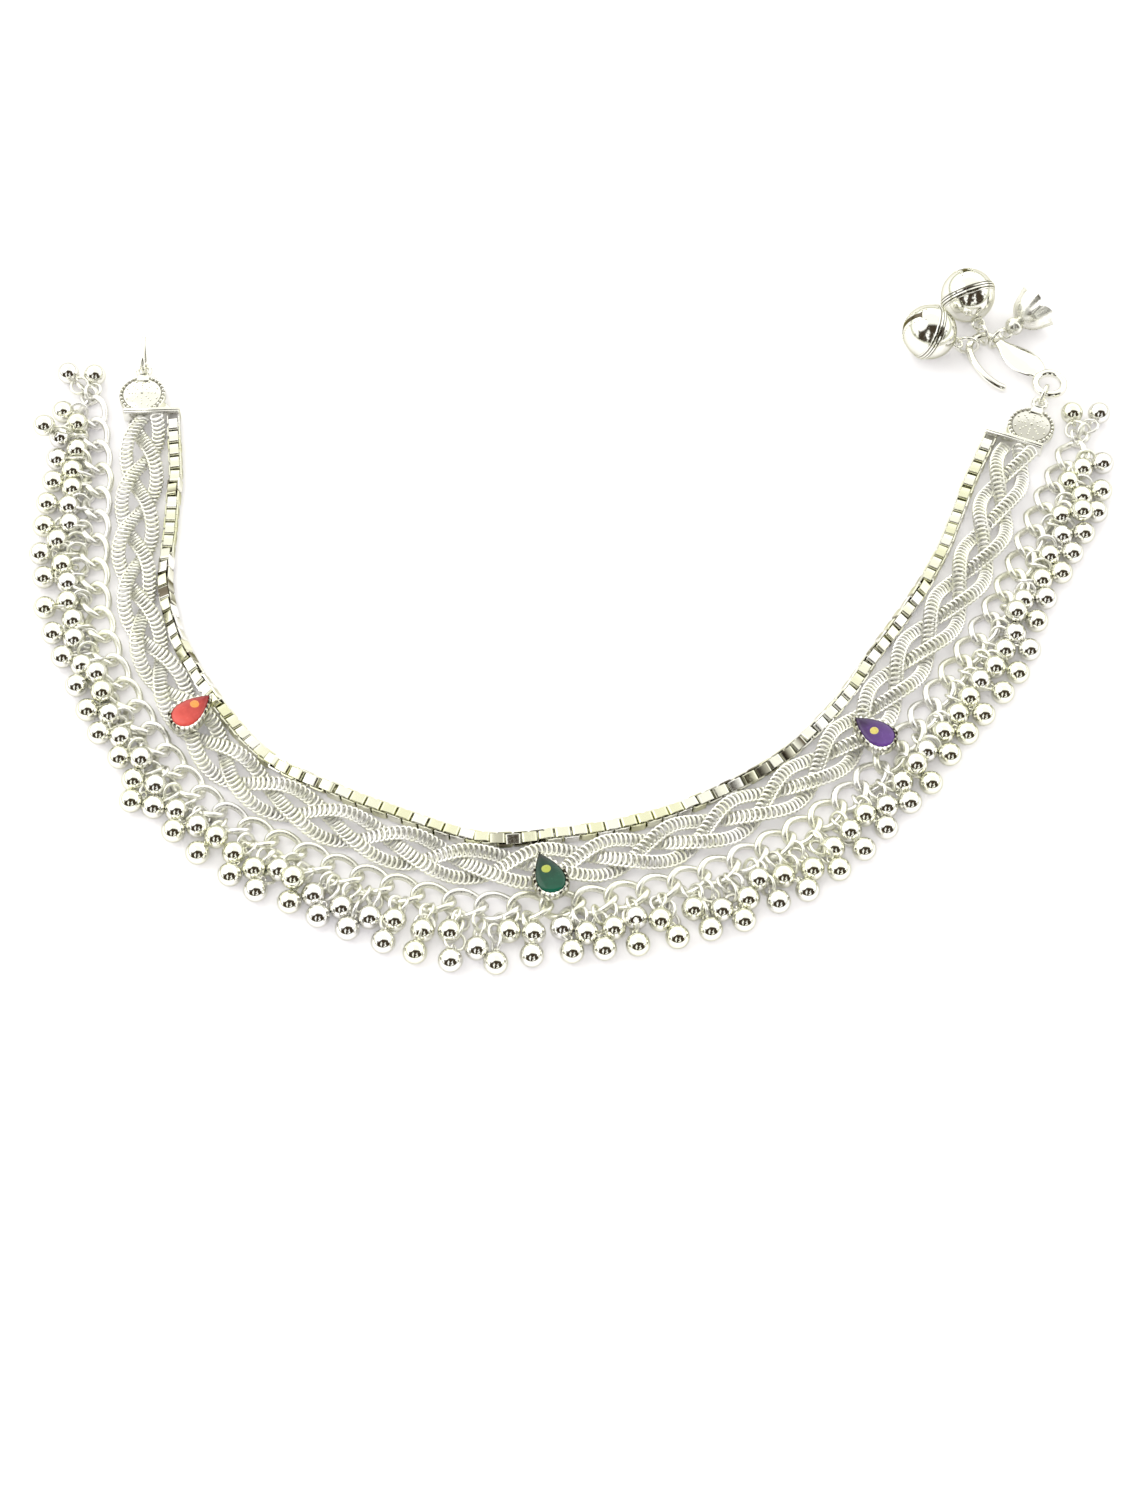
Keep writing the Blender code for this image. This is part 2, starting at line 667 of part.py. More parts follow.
def build_jump_ring(name, from_hole, to_wire, finish):
    """An upright ring through a hole, whose far side passes round a wire."""
    way = (to_wire - from_hole).normalized()
    centre = from_hole + way * RING_RADIUS
    centre.z = ring_height()
    bm = bmesh.new()
    normal = way.cross(Vector((0, 0, 1))).normalized()
    add_ring(bm, centre, normal, RING_RADIUS, RING_WIRE, RING_POINTS, WIRE_SIDES)
    add_mesh(name, bm, finish)


def ring_span(wire):
    """Distance from the hole that a jump ring passes through to the middle of the wire it holds."""
    return 2 * RING_RADIUS - RING_WIRE / 2 - wire / 2 - GAP


def build_hook(eye_centre, finish):
    """The hook: a bent wire hammered into a leaf, closed at one end round an eye."""
    route = [on_hook(eye_centre, k) for k in range(len(HOOK_ROUTE))]
    bm = bmesh.new()
    rings = []
    last = len(route) - 1
    for k, (x, y, height, leaf) in enumerate(HOOK_ROUTE):
        tangent = (route[min(k + 1, last)] - route[max(k - 1, 0)]).normalized()
        across = Vector((0, 0, 1)).cross(tangent).normalized()
        lift = tangent.cross(across)
        half_width = (HOOK_WIRE + (HOOK_LEAF_WIDTH - HOOK_WIRE) * leaf) / 2
        half_height = (HOOK_WIRE + (HOOK_LEAF_THICKNESS - HOOK_WIRE) * min(1, leaf * 2)) / 2
        turns = [2 * pi * n / HOOK_SIDES for n in range(HOOK_SIDES)]
        section = [route[k] + across * half_width * cos(a) + lift * half_height * sin(a) for a in turns]
        rings.append([bm.verts.new(corner) for corner in section])
    bridge(bm, rings, closed=False)
    hook = add_mesh("hook", bm, finish)
    eye = bmesh.new()
    start = Vector((1, 0, 0))
    radius, up = HOOK_EYE_RADIUS, Vector((0, 0, 1))
    add_ring(eye, eye_centre, up, radius, HOOK_WIRE, HOOK_EYE_POINTS, HOOK_SIDES, start)
    unite(hook, add_mesh("hook_eye_ring", eye, finish))


def on_hook(eye_centre, place):
    """A point of the hook's centre line, at a place counted in points of its route."""
    before = int(place)
    after = min(before + 1, len(HOOK_ROUTE) - 1)
    x, y, height = Vector(HOOK_ROUTE[before][:3]).lerp(Vector(HOOK_ROUTE[after][:3]), place - before) * MM
    return Vector((eye_centre.x + x, eye_centre.y + y, TABLE + height))


def add_bail(centre, axis, finish):
    """The small ring on top of a drop, upright in line with the drop."""
    bm = bmesh.new()
    normal = axis.cross(Vector((0, 0, 1))).cross(axis).normalized()
    add_ring(bm, centre, normal, BAIL_RADIUS, BAIL_WIRE, RING_POINTS, WIRE_SIDES, axis)
    return add_mesh("bail", bm, finish)


def build_bell(name, bail_centre, way, finish):
    """A round bell on its side: two thin cups with a double rim, a slit, and a bail at its top."""
    radius = BELL_DIAMETER / 2
    axis = Vector((way.x * cos(BELL_DROOP), way.y * cos(BELL_DROOP), -sin(BELL_DROOP)))
    to_bail = axis * (radius + BAIL_RADIUS - BAIL_WIRE / 2)
    centre = bail_centre - to_bail
    centre.z = TABLE + radius
    rim = radius + BELL_RIM_REACH
    cup = [(radius * cos(radians(a)), radius * sin(radians(a))) for a in BELL_LATITUDES] + [(0, radius)]
    foot = [(across, -along) for across, along in reversed(cup)]
    shell = bmesh.new()
    flanges = [(rim, -BELL_RIM_HEIGHT / 2), (rim, BELL_RIM_HEIGHT / 2)]
    add_turned(shell, foot + flanges + cup, BELL_SIDES, centre, axis)
    bell = add_mesh(name, shell, finish)
    inside = radius - BELL_WALL
    bowl = [(inside * cos(radians(a)), inside * sin(radians(a))) for a in BELL_INNER_LATITUDES]
    hollow = bmesh.new()
    add_turned(hollow, [(0, -inside)] + bowl + [(0, inside)], BELL_SIDES, centre, axis)
    slit = bmesh.new()
    bmesh.ops.create_cube(slit, size=1.0)
    across = axis.cross(Vector((0, 0, 1))).normalized()
    turn = Matrix((across, across.cross(axis), axis)).transposed().to_4x4()
    depth = radius * BELL_SLIT_DEPTH * 2
    size = Matrix.Diagonal((BELL_SLIT, BELL_DIAMETER * 2, depth, 1.0))
    slit.transform(Matrix.Translation(centre - axis * radius) @ turn @ size)
    cut(bell, add_mesh("cavity", hollow, finish), add_mesh("slit", slit, finish))
    unite(bell, add_bail(centre + to_bail, axis, finish))


def build_flower_cap(bail_centre, way, finish):
    """A flower cap on its side: a small bulb that opens into a cup with pointed petals."""
    axis = Vector((way.x * cos(CAP_DROOP), way.y * cos(CAP_DROOP), -sin(CAP_DROOP)))
    top = bail_centre - axis * (BAIL_RADIUS - BAIL_WIRE / 2)
    mouth = CAP_MOUTH / 2
    profile = [(across, -CAP_LENGTH * down) for across, down in CAP_STEM]
    profile += [(mouth * CAP_THROAT[0], -CAP_LENGTH * CAP_THROAT[1]), (mouth, -CAP_LENGTH)]
    profile += [(mouth - CAP_WALL, -CAP_LENGTH), (mouth * CAP_HOLLOW[0], -CAP_LENGTH * CAP_HOLLOW[1])]
    profile += [(0, -CAP_LENGTH * CAP_THROAT[1])]
    bm = bmesh.new()
    add_turned(bm, profile, CAP_PETALS * 2, top, axis)
    guide = axis.cross(Vector((0, 0, 1))).normalized()
    for vert in bm.verts:
        offset = vert.co - top
        depth = offset.dot(axis)
        spread = offset - axis * depth
        if depth > -CAP_LENGTH * (1 - CAP_PETAL_TAPER / 2):
            continue
        corner = round(guide.angle(spread) / (pi / CAP_PETALS))
        if corner % 2:
            vert.co += axis * CAP_PETAL_LENGTH - spread * CAP_PETAL_TAPER
    cap = add_mesh("flower_cap", bm, finish)
    unite(cap, add_bail(bail_centre, axis, finish))


def build_pear_eye(hole, away, finish):
    """The catch eye: a pear-shaped wire loop that leans up out of the left lug."""
    reach = Vector((away.x * cos(EYE_LEAN), away.y * cos(EYE_LEAN), sin(EYE_LEAN)))
    outline = drop_outline(EYE_LENGTH - EYE_WIRE, EYE_WIDTH - EYE_WIRE, EYE_POINTS)
    lift = away.cross(Vector((0, 0, 1))).cross(reach).normalized()
    middle = hole + reach * (EYE_LENGTH - EYE_WIRE) / 2
    points = [middle + reach * x + lift * y for x, y in outline]
    bm = bmesh.new()
    add_wire_loop(bm, points, EYE_WIRE / 2, WIRE_SIDES, reach.cross(lift).normalized())
    add_mesh("catch_eye", bm, finish)


def build_ends(finish):
    """Both end plates with what hangs on them."""
    for side, distance, turn in (("left", 0.0, -1.0), ("right", BAND.length, 1.0)):
        away = BAND.along(distance) * turn
        outward = BAND.side(distance)
        rib_middle = BAND.at(distance, DISC_ASIDE) + away * (RIB_WIDTH / 2 + GAP)
        centre = rib_middle + away * PLATE_LENGTH
        box_span = box_chain_aside(distance / BAND.length) + BOX_CHAIN_SIDE / 2
        spans = (box_span + DISC_ASIDE, BRAID_HALF_WIDTH - DISC_ASIDE)
        build_end_plate(f"end_plate_{side}", centre, away, outward, spans, finish)
        hole = centre + away * lug_reach()
        hole.z = ring_height()
        if side == "left":
            build_pear_eye(hole, away, finish)
        else:
            build_hook_group(hole, finish)


def build_hook_group(hole, finish):
    """The hook, the rings that hold it and its drops, two bells and a flower cap."""
    heading = Vector((cos(radians(HOOK_HEADING)), sin(radians(HOOK_HEADING)), 0.0))
    eye_centre = hole + heading * (ring_span(HOOK_WIRE) + HOOK_EYE_RADIUS)
    build_hook(eye_centre, finish)
    build_jump_ring("end_ring", hole, eye_centre, finish)
    for name, place, towards in DROPS:
        held = on_hook(eye_centre, place)
        held.z = ring_height()
        heading = Vector((*towards, 0.0)).normalized()
        bail = held - heading * ring_span(HOOK_WIRE)
        build_jump_ring(f"ring_of_{name}", bail, held, finish)
        if name == "flower_cap":
            build_flower_cap(bail, heading, finish)
        else:
            build_bell(name, bail, heading, finish)


def main():
    clear_scene()
    silver = material("polished_silver", SILVER, 0.15, 1.0)
    strand_silver = material("strand_silver", SILVER, 0.3, 1.0)
    build_box_chain(silver)
    for number in range(STRANDS):
        build_strand(number, strand_silver)
    build_ghungroo_chain(silver)
    for name, distance, aside, turn, colour in STONES:
        build_setting(name, distance, aside, turn, silver)
        build_stone(name, distance, aside, turn, material(f"enamel_{name}", colour, 0.12, 0.0))
    build_ends(silver)


main()
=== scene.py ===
"""Payal anklet laid open on a pale surface, with every chain made of its real links.

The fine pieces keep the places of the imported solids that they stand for. Sizes and places are in
millimetres, +Z up; the floor's and the lights' are in metres.
"""
from math import acos, cos, hypot, pi, radians, sin

import bpy
import numpy as np
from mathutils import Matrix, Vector


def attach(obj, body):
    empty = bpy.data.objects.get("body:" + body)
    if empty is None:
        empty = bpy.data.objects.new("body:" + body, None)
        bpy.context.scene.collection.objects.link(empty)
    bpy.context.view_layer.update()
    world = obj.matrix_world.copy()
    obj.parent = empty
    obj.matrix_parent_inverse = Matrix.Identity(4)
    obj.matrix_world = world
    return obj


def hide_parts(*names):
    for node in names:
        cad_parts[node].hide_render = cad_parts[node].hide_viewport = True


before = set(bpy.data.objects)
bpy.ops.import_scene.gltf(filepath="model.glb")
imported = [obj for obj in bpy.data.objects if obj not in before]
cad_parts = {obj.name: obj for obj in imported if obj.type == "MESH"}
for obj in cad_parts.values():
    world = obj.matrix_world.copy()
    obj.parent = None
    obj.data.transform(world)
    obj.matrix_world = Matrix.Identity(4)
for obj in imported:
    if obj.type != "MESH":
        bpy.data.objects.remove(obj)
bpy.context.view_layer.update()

MM = 0.001
UP = np.array([0.0, 0.0, 1.0])
GOLDEN = 0.618034

# The least angle of an edge that stays sharp, in degrees
SHARP = 50
BOX_SHARP = 32
PLATE_SHARP = 38
SETTING_SHARP = 35

# Camera: where it stands, how far it looks down, and a lens on the picture's long side
CAMERA_PLACE = (-2.5, -230.0, 327.0)
CAMERA_TILT = radians(58.0)
CAMERA_LENS = 62.4
CAMERA_SENSOR = 36.0
CAMERA_NEAR = 10.0

# Route of the braid's centre line on the table, from the left end to the right
BAND_ROUTE = (
    (-69.5, 36.5), (-69.2, 26.0), (-68.8, 10.0), (-66.9, -2.4), (-61.9, -14.6), (-50.7, -30.3),
    (-37.5, -38.4), (-25.0, -43.6), (-13.0, -46.4), (0.0, -45.6), (12.0, -42.9), (22.0, -38.6),
    (32.5, -32.0), (42.0, -22.4), (49.5, -11.5), (56.5, -1.0), (62.5, 10.0), (66.5, 21.0),
    (70.3, 30.5),
)
ROUTE_STEPS = 40

# How far the box chain lies inside the route: share of the route's length, distance
BOX_CHAIN_LIE = (
    (0.00, 4.5), (0.05, 5.5), (0.10, 5.3), (0.14, 4.5), (0.19, 4.5), (0.26, 4.8), (0.36, 5.2),
    (0.41, 5.4), (0.47, 4.6), (0.52, 5.1), (0.70, 5.0), (0.86, 5.3), (0.92, 5.6), (1.00, 4.9),
)
BOX_SIDE = 2.1
BOX_LENGTH = 2.28
BOX_PITCH = 1.3
BOX_WALL = 0.3
BOX_STRIP = 1.46
BOX_CORNER = 0.38
BOX_CHAMFER = 0.06
BOX_BENDS = 20
# Stretches where the box chain lies turned on its edge: share of its length from, to, how far
# it's turned, and how dark it is made there: painted shade in its recesses, dark patches on faces
BOX_TURNED = (
    (0.056, 0.072, 0.3, 0.8), (0.112, 0.225, 0.8, 1.0), (0.225, 0.255, 0.7, 0.2),
    (0.315, 0.365, 0.7, 0.2), (0.480, 0.516, 0.54, 0.9), (0.615, 0.715, 0.58, 1.0),
    (0.715, 0.785, 0.6, 0.1), (0.785, 0.870, 0.7, 0.8),
)
BOX_SOFT_END = 0.12
BOX_LIFT = 0.22
BOX_ROLL = radians(38)
# How unevenly its links lie, in degrees: a slow sway and its step from link to link in radians, a
# scatter, and how much that grows where the chain is turned
BOX_SWAY = 3.0
BOX_SWAY_STEP = 0.21
BOX_SCATTER = 2.0
BOX_SLACK = 18.0
# Darkening: how dark the painted shade in a clean recess is, and the scatter over which a face gets a
# dark patch
BOX_RECESS_SHADE = 0.25
BOX_DARK_FACE_OVER = 0.12

STRANDS = 3
BRAID_TURN = 30.0
BRAID_HALF_WIDTH = 3.5
BRAID_SPREAD = 3.75
BRAID_MIDDLE = 1.52
BRAID_RISE = 0.8
GAP = 0.3
CURB_HALF_LENGTH = 0.62
CURB_HALF_WIDTH = 0.98
CURB_WIRE = 0.42
CURB_PITCH = 0.76
CURB_TWIST = 0.32
CURB_LEAN = 0.36
CURB_SWAY = 8.0
CURB_SWAY_STEP = 0.13
STRAND_SAMPLES = 1600

LINK_HALF_LENGTH = 2.95
LINK_HALF_WIDTH = 2.0
LINK_WIRE = 1.0
LINK_PLAY = 0.25
LINK_PITCH = 2 * LINK_HALF_LENGTH - LINK_WIRE - LINK_PLAY
LINK_TWIST = 0.68
CHAIN_OVERHANG = 5.0
# How far the link chain turns aside from the braid at its ends: share of the length, distance
CHAIN_TURN_ASIDE = ((0.00, 2.0), (0.05, 0.4), (0.10, 0.0), (0.92, 0.0), (1.00, 1.6))

# The free length of the balls' loops and rings, from a link to its ball: share of the chain, length
BALL_DROP = (
    (0.00, 0.35), (0.04, 1.75), (0.08, 3.35), (0.15, 3.95), (0.21, 1.55), (0.30, 2.15), (0.37, 3.75),
    (0.47, 4.95), (0.52, 3.95), (0.59, 4.15), (0.65, 4.95), (0.72, 2.55), (0.77, 2.95), (0.82, 3.95),
    (0.88, 1.95), (0.95, 3.35), (1.00, 0.55),
)
BALL_DIAMETER = 3.5
BALL_SPREAD = LINK_PITCH - BALL_DIAMETER - GAP
BALL_LOOP_RADIUS = 0.42
BALL_LOOP_WIRE = 0.3
# The inner row: how many balls a link holds, and its shortest and longest share of the outer drop
INNER_BALLS_PER_LINK = 1.3
INNER_DROPS = (-0.2, 0.85)
# How the inner row settles: rounds, how far a ball sinks in each, and the space kept between two
SETTLING_ROUNDS = 160
SETTLING_SINK = 0.03
BALL_SPACE = 0.05

# Balls past the chain's ends: outward from the chain's end and beyond it
END_BALLS = {"left": ((3.3, 5.4), (-0.9, 4.3)), "right": ((1.1, 6.8), (-2.8, 4.9))}

HANGER_RADIUS = 1.45
HANGER_WIRE = 0.52
HANGER_TILT = radians(50)
HANGER_NEXT_TURN = radians(78)

RING_RADIUS = 1.75
RING_WIRE = 0.6
PLATE_THICKNESS = 1.2
PLATE_LENGTH = 3.4
RIB_WIDTH = 0.9
PLATE_INSET = 0.2
# The base's half width under the disc, and the bevels round the tops of base, bar and lug's neck
PLATE_TIP = 2.59
BASE_BEVEL = 0.15
BAR_BEVEL = 0.05
NECK_BEVEL = 0.08
BAR_HEIGHT = 1.9
# The bar's three ridges: radius, distance from one to the next, how high the middle one stands on
# the bar, and how much lower the others are
RIDGE_RADIUS = 0.22
RIDGE_PITCH = 0.32
RIDGE_RISE = 0.35
RIDGE_FALL = 0.12
DISC_DIAMETER = 7.4
DISC_FACE = 2.16
DISC_UNDERSIDE = PLATE_THICKNESS - 0.24
DISC_ASIDE = 0.6
DISC_EDGE = 0.2
# The disc's upper side from its edge to its middle: share of its radius, inset, height over its face
DISC_TOP = (
    (1.0, 0.0, -0.2), (1.0, 0.1, -0.1), (1.0, 0.62, -0.12), (1.0, 0.7, 0.0), (0.5, 0.0, 0.26),
    (0.2, 0.0, 0.36), (0.0, 0.0, 0.38),
)
# How dark the painted shade in its groove is, which lies between these insets, how dark each disc's
# dome is made up to a share of its radius, and the height over which the disc is dark at all
DISC_GROOVE = (0.65, 0.05)
DISC_GROOVE_SHADE = 0.7
DISC_DOME_DARK = {"left": 0.2, "right": 0.5}
DISC_DOME_DARK_SHARE = 0.9
DISC_DARK_FROM = 1.5
DISC_BEADS = 28
DISC_BEAD_RADIUS = 0.27
DISC_BEAD_RISE = 0.04
# The stamped star: rays, and where the dots of a ray stand as shares of the disc's radius
STAR_RAYS = 8
STAR_DOTS = (0.28, 0.42, 0.56, 0.70)
STAR_DOT_RADIUS = 0.16
STAR_MIDDLE_RADIUS = 0.28
# The dome under the star: its height at the middle, its fall at the edge, and how that grows
STAR_HEIGHT = 0.38
STAR_FALL = 0.40
STAR_CURVE = 1.6
STAR_MIDDLE_SINK = 0.02
LUG_HOLE = 1.5
LUG_WALL = 0.55
LUG_THICKNESS = 0.8
LUG_FROM_DISC = 1.2
LUG_EDGE = 0.12
# The lug's neck: where it starts from the disc's middle, and its width there and at the lug
NECK_START = 2.59
NECK_WIDTHS = (2.08, 1.612)

EYE_LENGTH = 6.2
EYE_WIDTH = 4.0
EYE_WIRE = 0.7
EYE_LEAN = radians(25)

HOOK_WIRE = 1.2
HOOK_LEAF_WIDTH = 5.0
HOOK_LEAF_THICKNESS = 0.8
HOOK_EYE_RADIUS = 2.27
HOOK_HEADING = radians(64.4)
HOOK_SIDES = 20
# The rounding of the hook's tip: over how many sections, and its first share of the wire's width
HOOK_TIP = 4
HOOK_TIP_SHARE = 0.55
# The hook's wire from its open tip to its eye: x and y from the eye's middle, height over the
# table, and the share of the leaf's width
HOOK_ROUTE = (
    (-6.9, 0.1, 0.75, 0.0), (-8.3, 0.8, 0.85, 0.0), (-10.2, 2.5, 1.2, 0.0), (-11.7, 4.8, 1.65, 0.0),
    (-12.4, 7.2, 2.0, 0.0), (-11.7, 9.2, 2.05, 0.0), (-9.9, 10.2, 2.05, 0.0), (-8.2, 9.6, 2.05, 0.0),
    (-6.9, 8.1, 2.05, 0.25), (-5.6, 6.6, 2.0, 0.72), (-4.2, 5.2, 2.0, 0.98), (-2.9, 4.0, 2.0, 0.92),
    (-1.9, 2.8, 2.05, 0.62), (-1.3, 1.9, 2.05, 0.25),
)
# What hangs on the hook: name, the place on its route in points, and the way from the drop to it
DROPS = (
    ("bell_low", 4.45, (1.0, -0.1)), ("bell_high", 6.1, (0.35, -0.94)),
    ("flower_cap", 7.2, (-0.78, -0.62)),
)
BAIL_RADIUS = 0.95
BAIL_WIRE = 0.5
BELL_DIAMETER = 8.8
BELL_DROOP = radians(24)
BELL_LIFT = 0.2
# The bell's rim from the parting to the cup: height, how far it stands out, how dark its painted shade is
BELL_RIM = (
    (0.03, -0.06, 0.9), (0.10, 0.20, 0.0), (0.30, 0.22, 0.0), (0.38, 0.02, 0.8), (0.50, 0.0, 0.8),
    (0.57, 0.12, 0.0), (0.68, 0.12, 0.0), (0.76, 0.0, 0.5), (0.86, 0.0, 0.0),
)
# The collar at the bell's bail: radius, and height over the cup
BELL_COLLAR = ((0.0, -0.1), (0.9, -0.12), (0.7, 0.14), (0.0, 0.2))
# The slit, a strip of painted shade: sections, degrees from one to the next, its half width and that
# of its round ends, how deep it reaches and how far it stands out
SLIT_SECTIONS = 17
SLIT_STEP = 5.5
SLIT_HALF_WIDTH = 0.42
SLIT_END_HALF_WIDTH = 0.7
SLIT_DEPTH = 0.16
SLIT_PROUD = 0.02
# The beaded bands beside the slit: beads, degrees from one to the next, distance from the slit
BAND_BEADS = 13
BAND_STEP = 8.5
BAND_ASIDE = 1.05
BAND_BEAD_RADIUS = 0.17
CAP_PETALS = 6
CAP_DROOP = radians(14)
CAP_BULB_RADIUS = 0.75
CAP_BULB_DROP = 4.092
# The flower cap's section, outside from the bail to the mouth and inside back up: radius, height
CAP_OUTSIDE = (
    (0.35, 0.3), (1.0, -0.1), (1.5, -0.9), (1.4, -1.7), (1.05, -2.2), (1.9, -2.8), (2.8, -3.8),
    (3.35, -5.2), (3.8, -6.6),
)
CAP_INSIDE = ((3.55, -6.6), (3.0, -5.3), (2.2, -4.3), (0.8, -3.8))
# Where the petals begin below the bail and how long they are
PETALS_FROM = 3.0
PETALS_LENGTH = 3.6
# How far a petal's sides draw back from its point, how high its ridge stands and how far its sides
# tuck in, the last two as shares of the radius
PETAL_CURVE = 0.8
PETAL_SLANT = 0.2
PETAL_RIDGE = 0.04
PETAL_TUCK = 0.06

SETTING_LENGTH = 7.8
SETTING_WIDTH = 5.2
SETTING_WALL = 0.5
SETTING_HEIGHT = 1.5
SETTING_FLOOR = 0.5
SETTING_SEAT = 2.82
SETTING_TEETH = 26
# Rows of the setting from its foot over the serrated rim to its inside: inset, share of the height,
# depth of the notches, and how dark the painted shade in them is
SETTING_ROWS = (
    (0.0, 0.0, 0.0, 0.0), (0.0, 0.78, 0.2, 0.7), (0.06, 0.96, 0.35, 0.8), (0.26, 1.0, 0.3, 0.7),
    (0.46, 0.94, 0.1, 0.3), (0.54, 0.4, 0.0, 0.0),
)
STONE_GAP = 0.12
STONE_TRIM = 0.06
# What brings the widest place of a stone's outline to its full width
STONE_SIDES = 1.3
# The enamel's rows from its foot to its crown: share of the outline, height
STONE_ROWS = (
    (1.0, 0.0), (1.0, 0.72), (0.95, 0.88), (0.84, 0.98), (0.66, 1.06), (0.4, 1.12), (0.15, 1.15),
)
# The dot's section: share of its radius, height
DOT_ROWS = ((0, -0.1), (1.0, -0.1), (1.0, 0.0), (0.84, 0.05), (0.4, 0.07), (0, 0.07))
DOT_RADIUS = 0.7
DOT_HEIGHT = 1.1

# Each stone: name, its distance along the route and outward from it, the turn of its tip from the
# route's direction in degrees, and its dot's place as shares of the stone's length and width
STONES = (
    ("red", 60.3, -0.5, 102.4, (0.10, 0.04)),
    ("green", 121.3, 2.6, 106.3, (0.06, 0.02)),
    ("purple", 174.3, 2.5, 90.3, (-0.04, 0.05)),
)


def unit(vector):
    return vector / np.linalg.norm(vector)


def level_across(way):
    """The level way square to another."""
    return unit(np.cross(UP, way))


def wander(number, seed=0.0):
    """A fixed scatter between -0.5 and 0.5 for item number."""
    return (sin(number * 12.9898 + seed * 78.233) * 43758.5453) % 1 - 0.5


class Route:
    """A smooth line on the table, measured by its own length, with its outward side."""

    def __init__(self, line):
        self.line = line
        steps = np.linalg.norm(np.diff(line, axis=0), axis=1)
        self.distance = np.concatenate([[0.0], np.cumsum(steps)])
        self.length = float(self.distance[-1])
        tangent = np.gradient(line, axis=0)
        tangent /= np.linalg.norm(tangent, axis=1)[:, None]
        self.outward = np.stack([tangent[:, 1], -tangent[:, 0]], axis=1)

    def at(self, distance, aside=0.0, height=0.0):
        """The point at a distance along the route, set aside outward and up."""
        place = [np.interp(distance, self.distance, self.line[:, k]) for k in (0, 1)]
        return np.array([*place, height]) + self.side(distance) * aside

    def side(self, distance):
        way = [np.interp(distance, self.distance, self.outward[:, k]) for k in (0, 1)]
        return unit(np.array([*way, 0.0]))

    def along(self, distance):
        way = self.side(distance)
        return np.array([-way[1], way[0], 0.0])


def smooth(points, steps):
    """A curve through the points, each span a cubic whose ends follow the neighbours."""
    known = np.array(points, dtype=float)
    known = np.vstack([2 * known[0] - known[1], known, 2 * known[-1] - known[-2]])
    line = []
    for before, start, end, after in zip(known, known[1:], known[2:], known[3:]):
        for step in range(steps):
            t = step / steps
            straight = 2 * start + (end - before) * t
            bend = (2 * before - 5 * start + 4 * end - after) * t ** 2
            turn = (3 * start - before - 3 * end + after) * t ** 3
            line.append(0.5 * (straight + bend + turn))
    line.append(known[-2])
    return np.array(line)


BAND = Route(smooth(BAND_ROUTE, ROUTE_STEPS))


def from_table(table, share):
    """A table's distance at a share of a length, blended between its rows."""
    shares, distances = zip(*table)
    return float(np.interp(share, shares, distances))


def full_turn(count):
    """Angles spaced evenly round a full turn."""
    return [2 * pi * k / count for k in range(count)]


def oval(place, across, lift, half_width, half_height, sides):
    """A ring of points about a place, from its two ways and half sizes."""
    return np.array([place + across * half_width * cos(a) + lift * half_height * sin(a)
                     for a in full_turn(sides)])


# Shapes: each is an array of points and a list of faces


def skin(rings, closed):
    """A row of equal rings of points, closed to a loop or capped at its ends."""
    count, sides = len(rings), len(rings[0])
    faces = []
    for k in range(count if closed else count - 1):
        a, b = k * sides, (k + 1) % count * sides
        faces += [(a + n, a + (n + 1) % sides, b + (n + 1) % sides, b + n) for n in range(sides)]
    if not closed:
        faces += [tuple(reversed(range(sides))), tuple(range((count - 1) * sides, count * sides))]
    return turned_out(np.concatenate(rings), faces)


def turned_out(points, faces):
    """The shape with its faces pointing outward, told by the sign of its volume."""
    volume = 0.0
    for face in faces:
        first = points[face[0]]
        for second, third in zip(face[1:], face[2:]):
            volume += first @ np.cross(points[second], points[third])
    if volume < 0:
        faces = [tuple(reversed(face)) for face in faces]
    return points, faces


def turned(profile, sides):
    """A turned shape about Z from rows of radius and height; a radius of 0 is a pole."""
    points, rows = [], []
    for radius, height in profile:
        ring = sides if radius else 1
        rows.append(list(range(len(points), len(points) + ring)))
        points += [(radius * cos(a), radius * sin(a), height) for a in full_turn(sides)[:ring]]
    faces = []
    for row, following in zip(rows, rows[1:]):
        for k in range(sides):
            n = (k + 1) % sides
            if len(row) == 1:
                faces.append((row[0], following[n], following[k]))
            elif len(following) == 1:
                faces.append((row[k], row[n], following[0]))
            else:
                faces.append((row[k], row[n], following[n], following[k]))
    for row, cap in ((rows[0], lambda ring: tuple(reversed(ring))), (rows[-1], tuple)):
        if len(row) > 1 and profile[0] != profile[-1]:
            faces.append(cap(row))
    return turned_out(np.array(points), faces)


def wire_loop(points, radius, sides, up=UP):
    """A closed wire of round section through the points."""
    rings = []
    for k, place in enumerate(points):
        tangent = unit(points[(k + 1) % len(points)] - points[k - 1])
        across = unit(np.cross(up, tangent))
        rings.append(oval(place, across, np.cross(tangent, across), radius, radius, sides))
    return skin(rings, closed=True)


def round_ring(radius, wire, segments, sides):
    """A wire ring in the plane of X and Y."""
    points = [np.array([radius * cos(a), radius * sin(a), 0.0]) for a in full_turn(segments)]
    return wire_loop(points, wire / 2, sides)


def twisted_link(half_length, half_width, wire, twist, segments, sides, rise=0.0):
    """A curb link along X, flat in X and Y: its two ends lean opposite ways and differ in height."""
    points = []
    for turn in full_turn(segments):
        turn -= pi / segments
        lean = twist * cos(turn)
        aside = half_width * sin(turn)
        height = aside * sin(lean) + rise * cos(turn)
        points.append(np.array([half_length * cos(turn), aside * cos(lean), height]))
    return wire_loop(points, wire / 2, sides)


def ball(radius, segments, rows):
    """A round ball about its middle."""
    angles = [-pi / 2 + pi * k / rows for k in range(rows + 1)]
    profile = [(radius * cos(a), radius * sin(a)) for a in angles]
    profile[0], profile[-1] = (0, -radius), (0, radius)
    return turned(profile, segments)


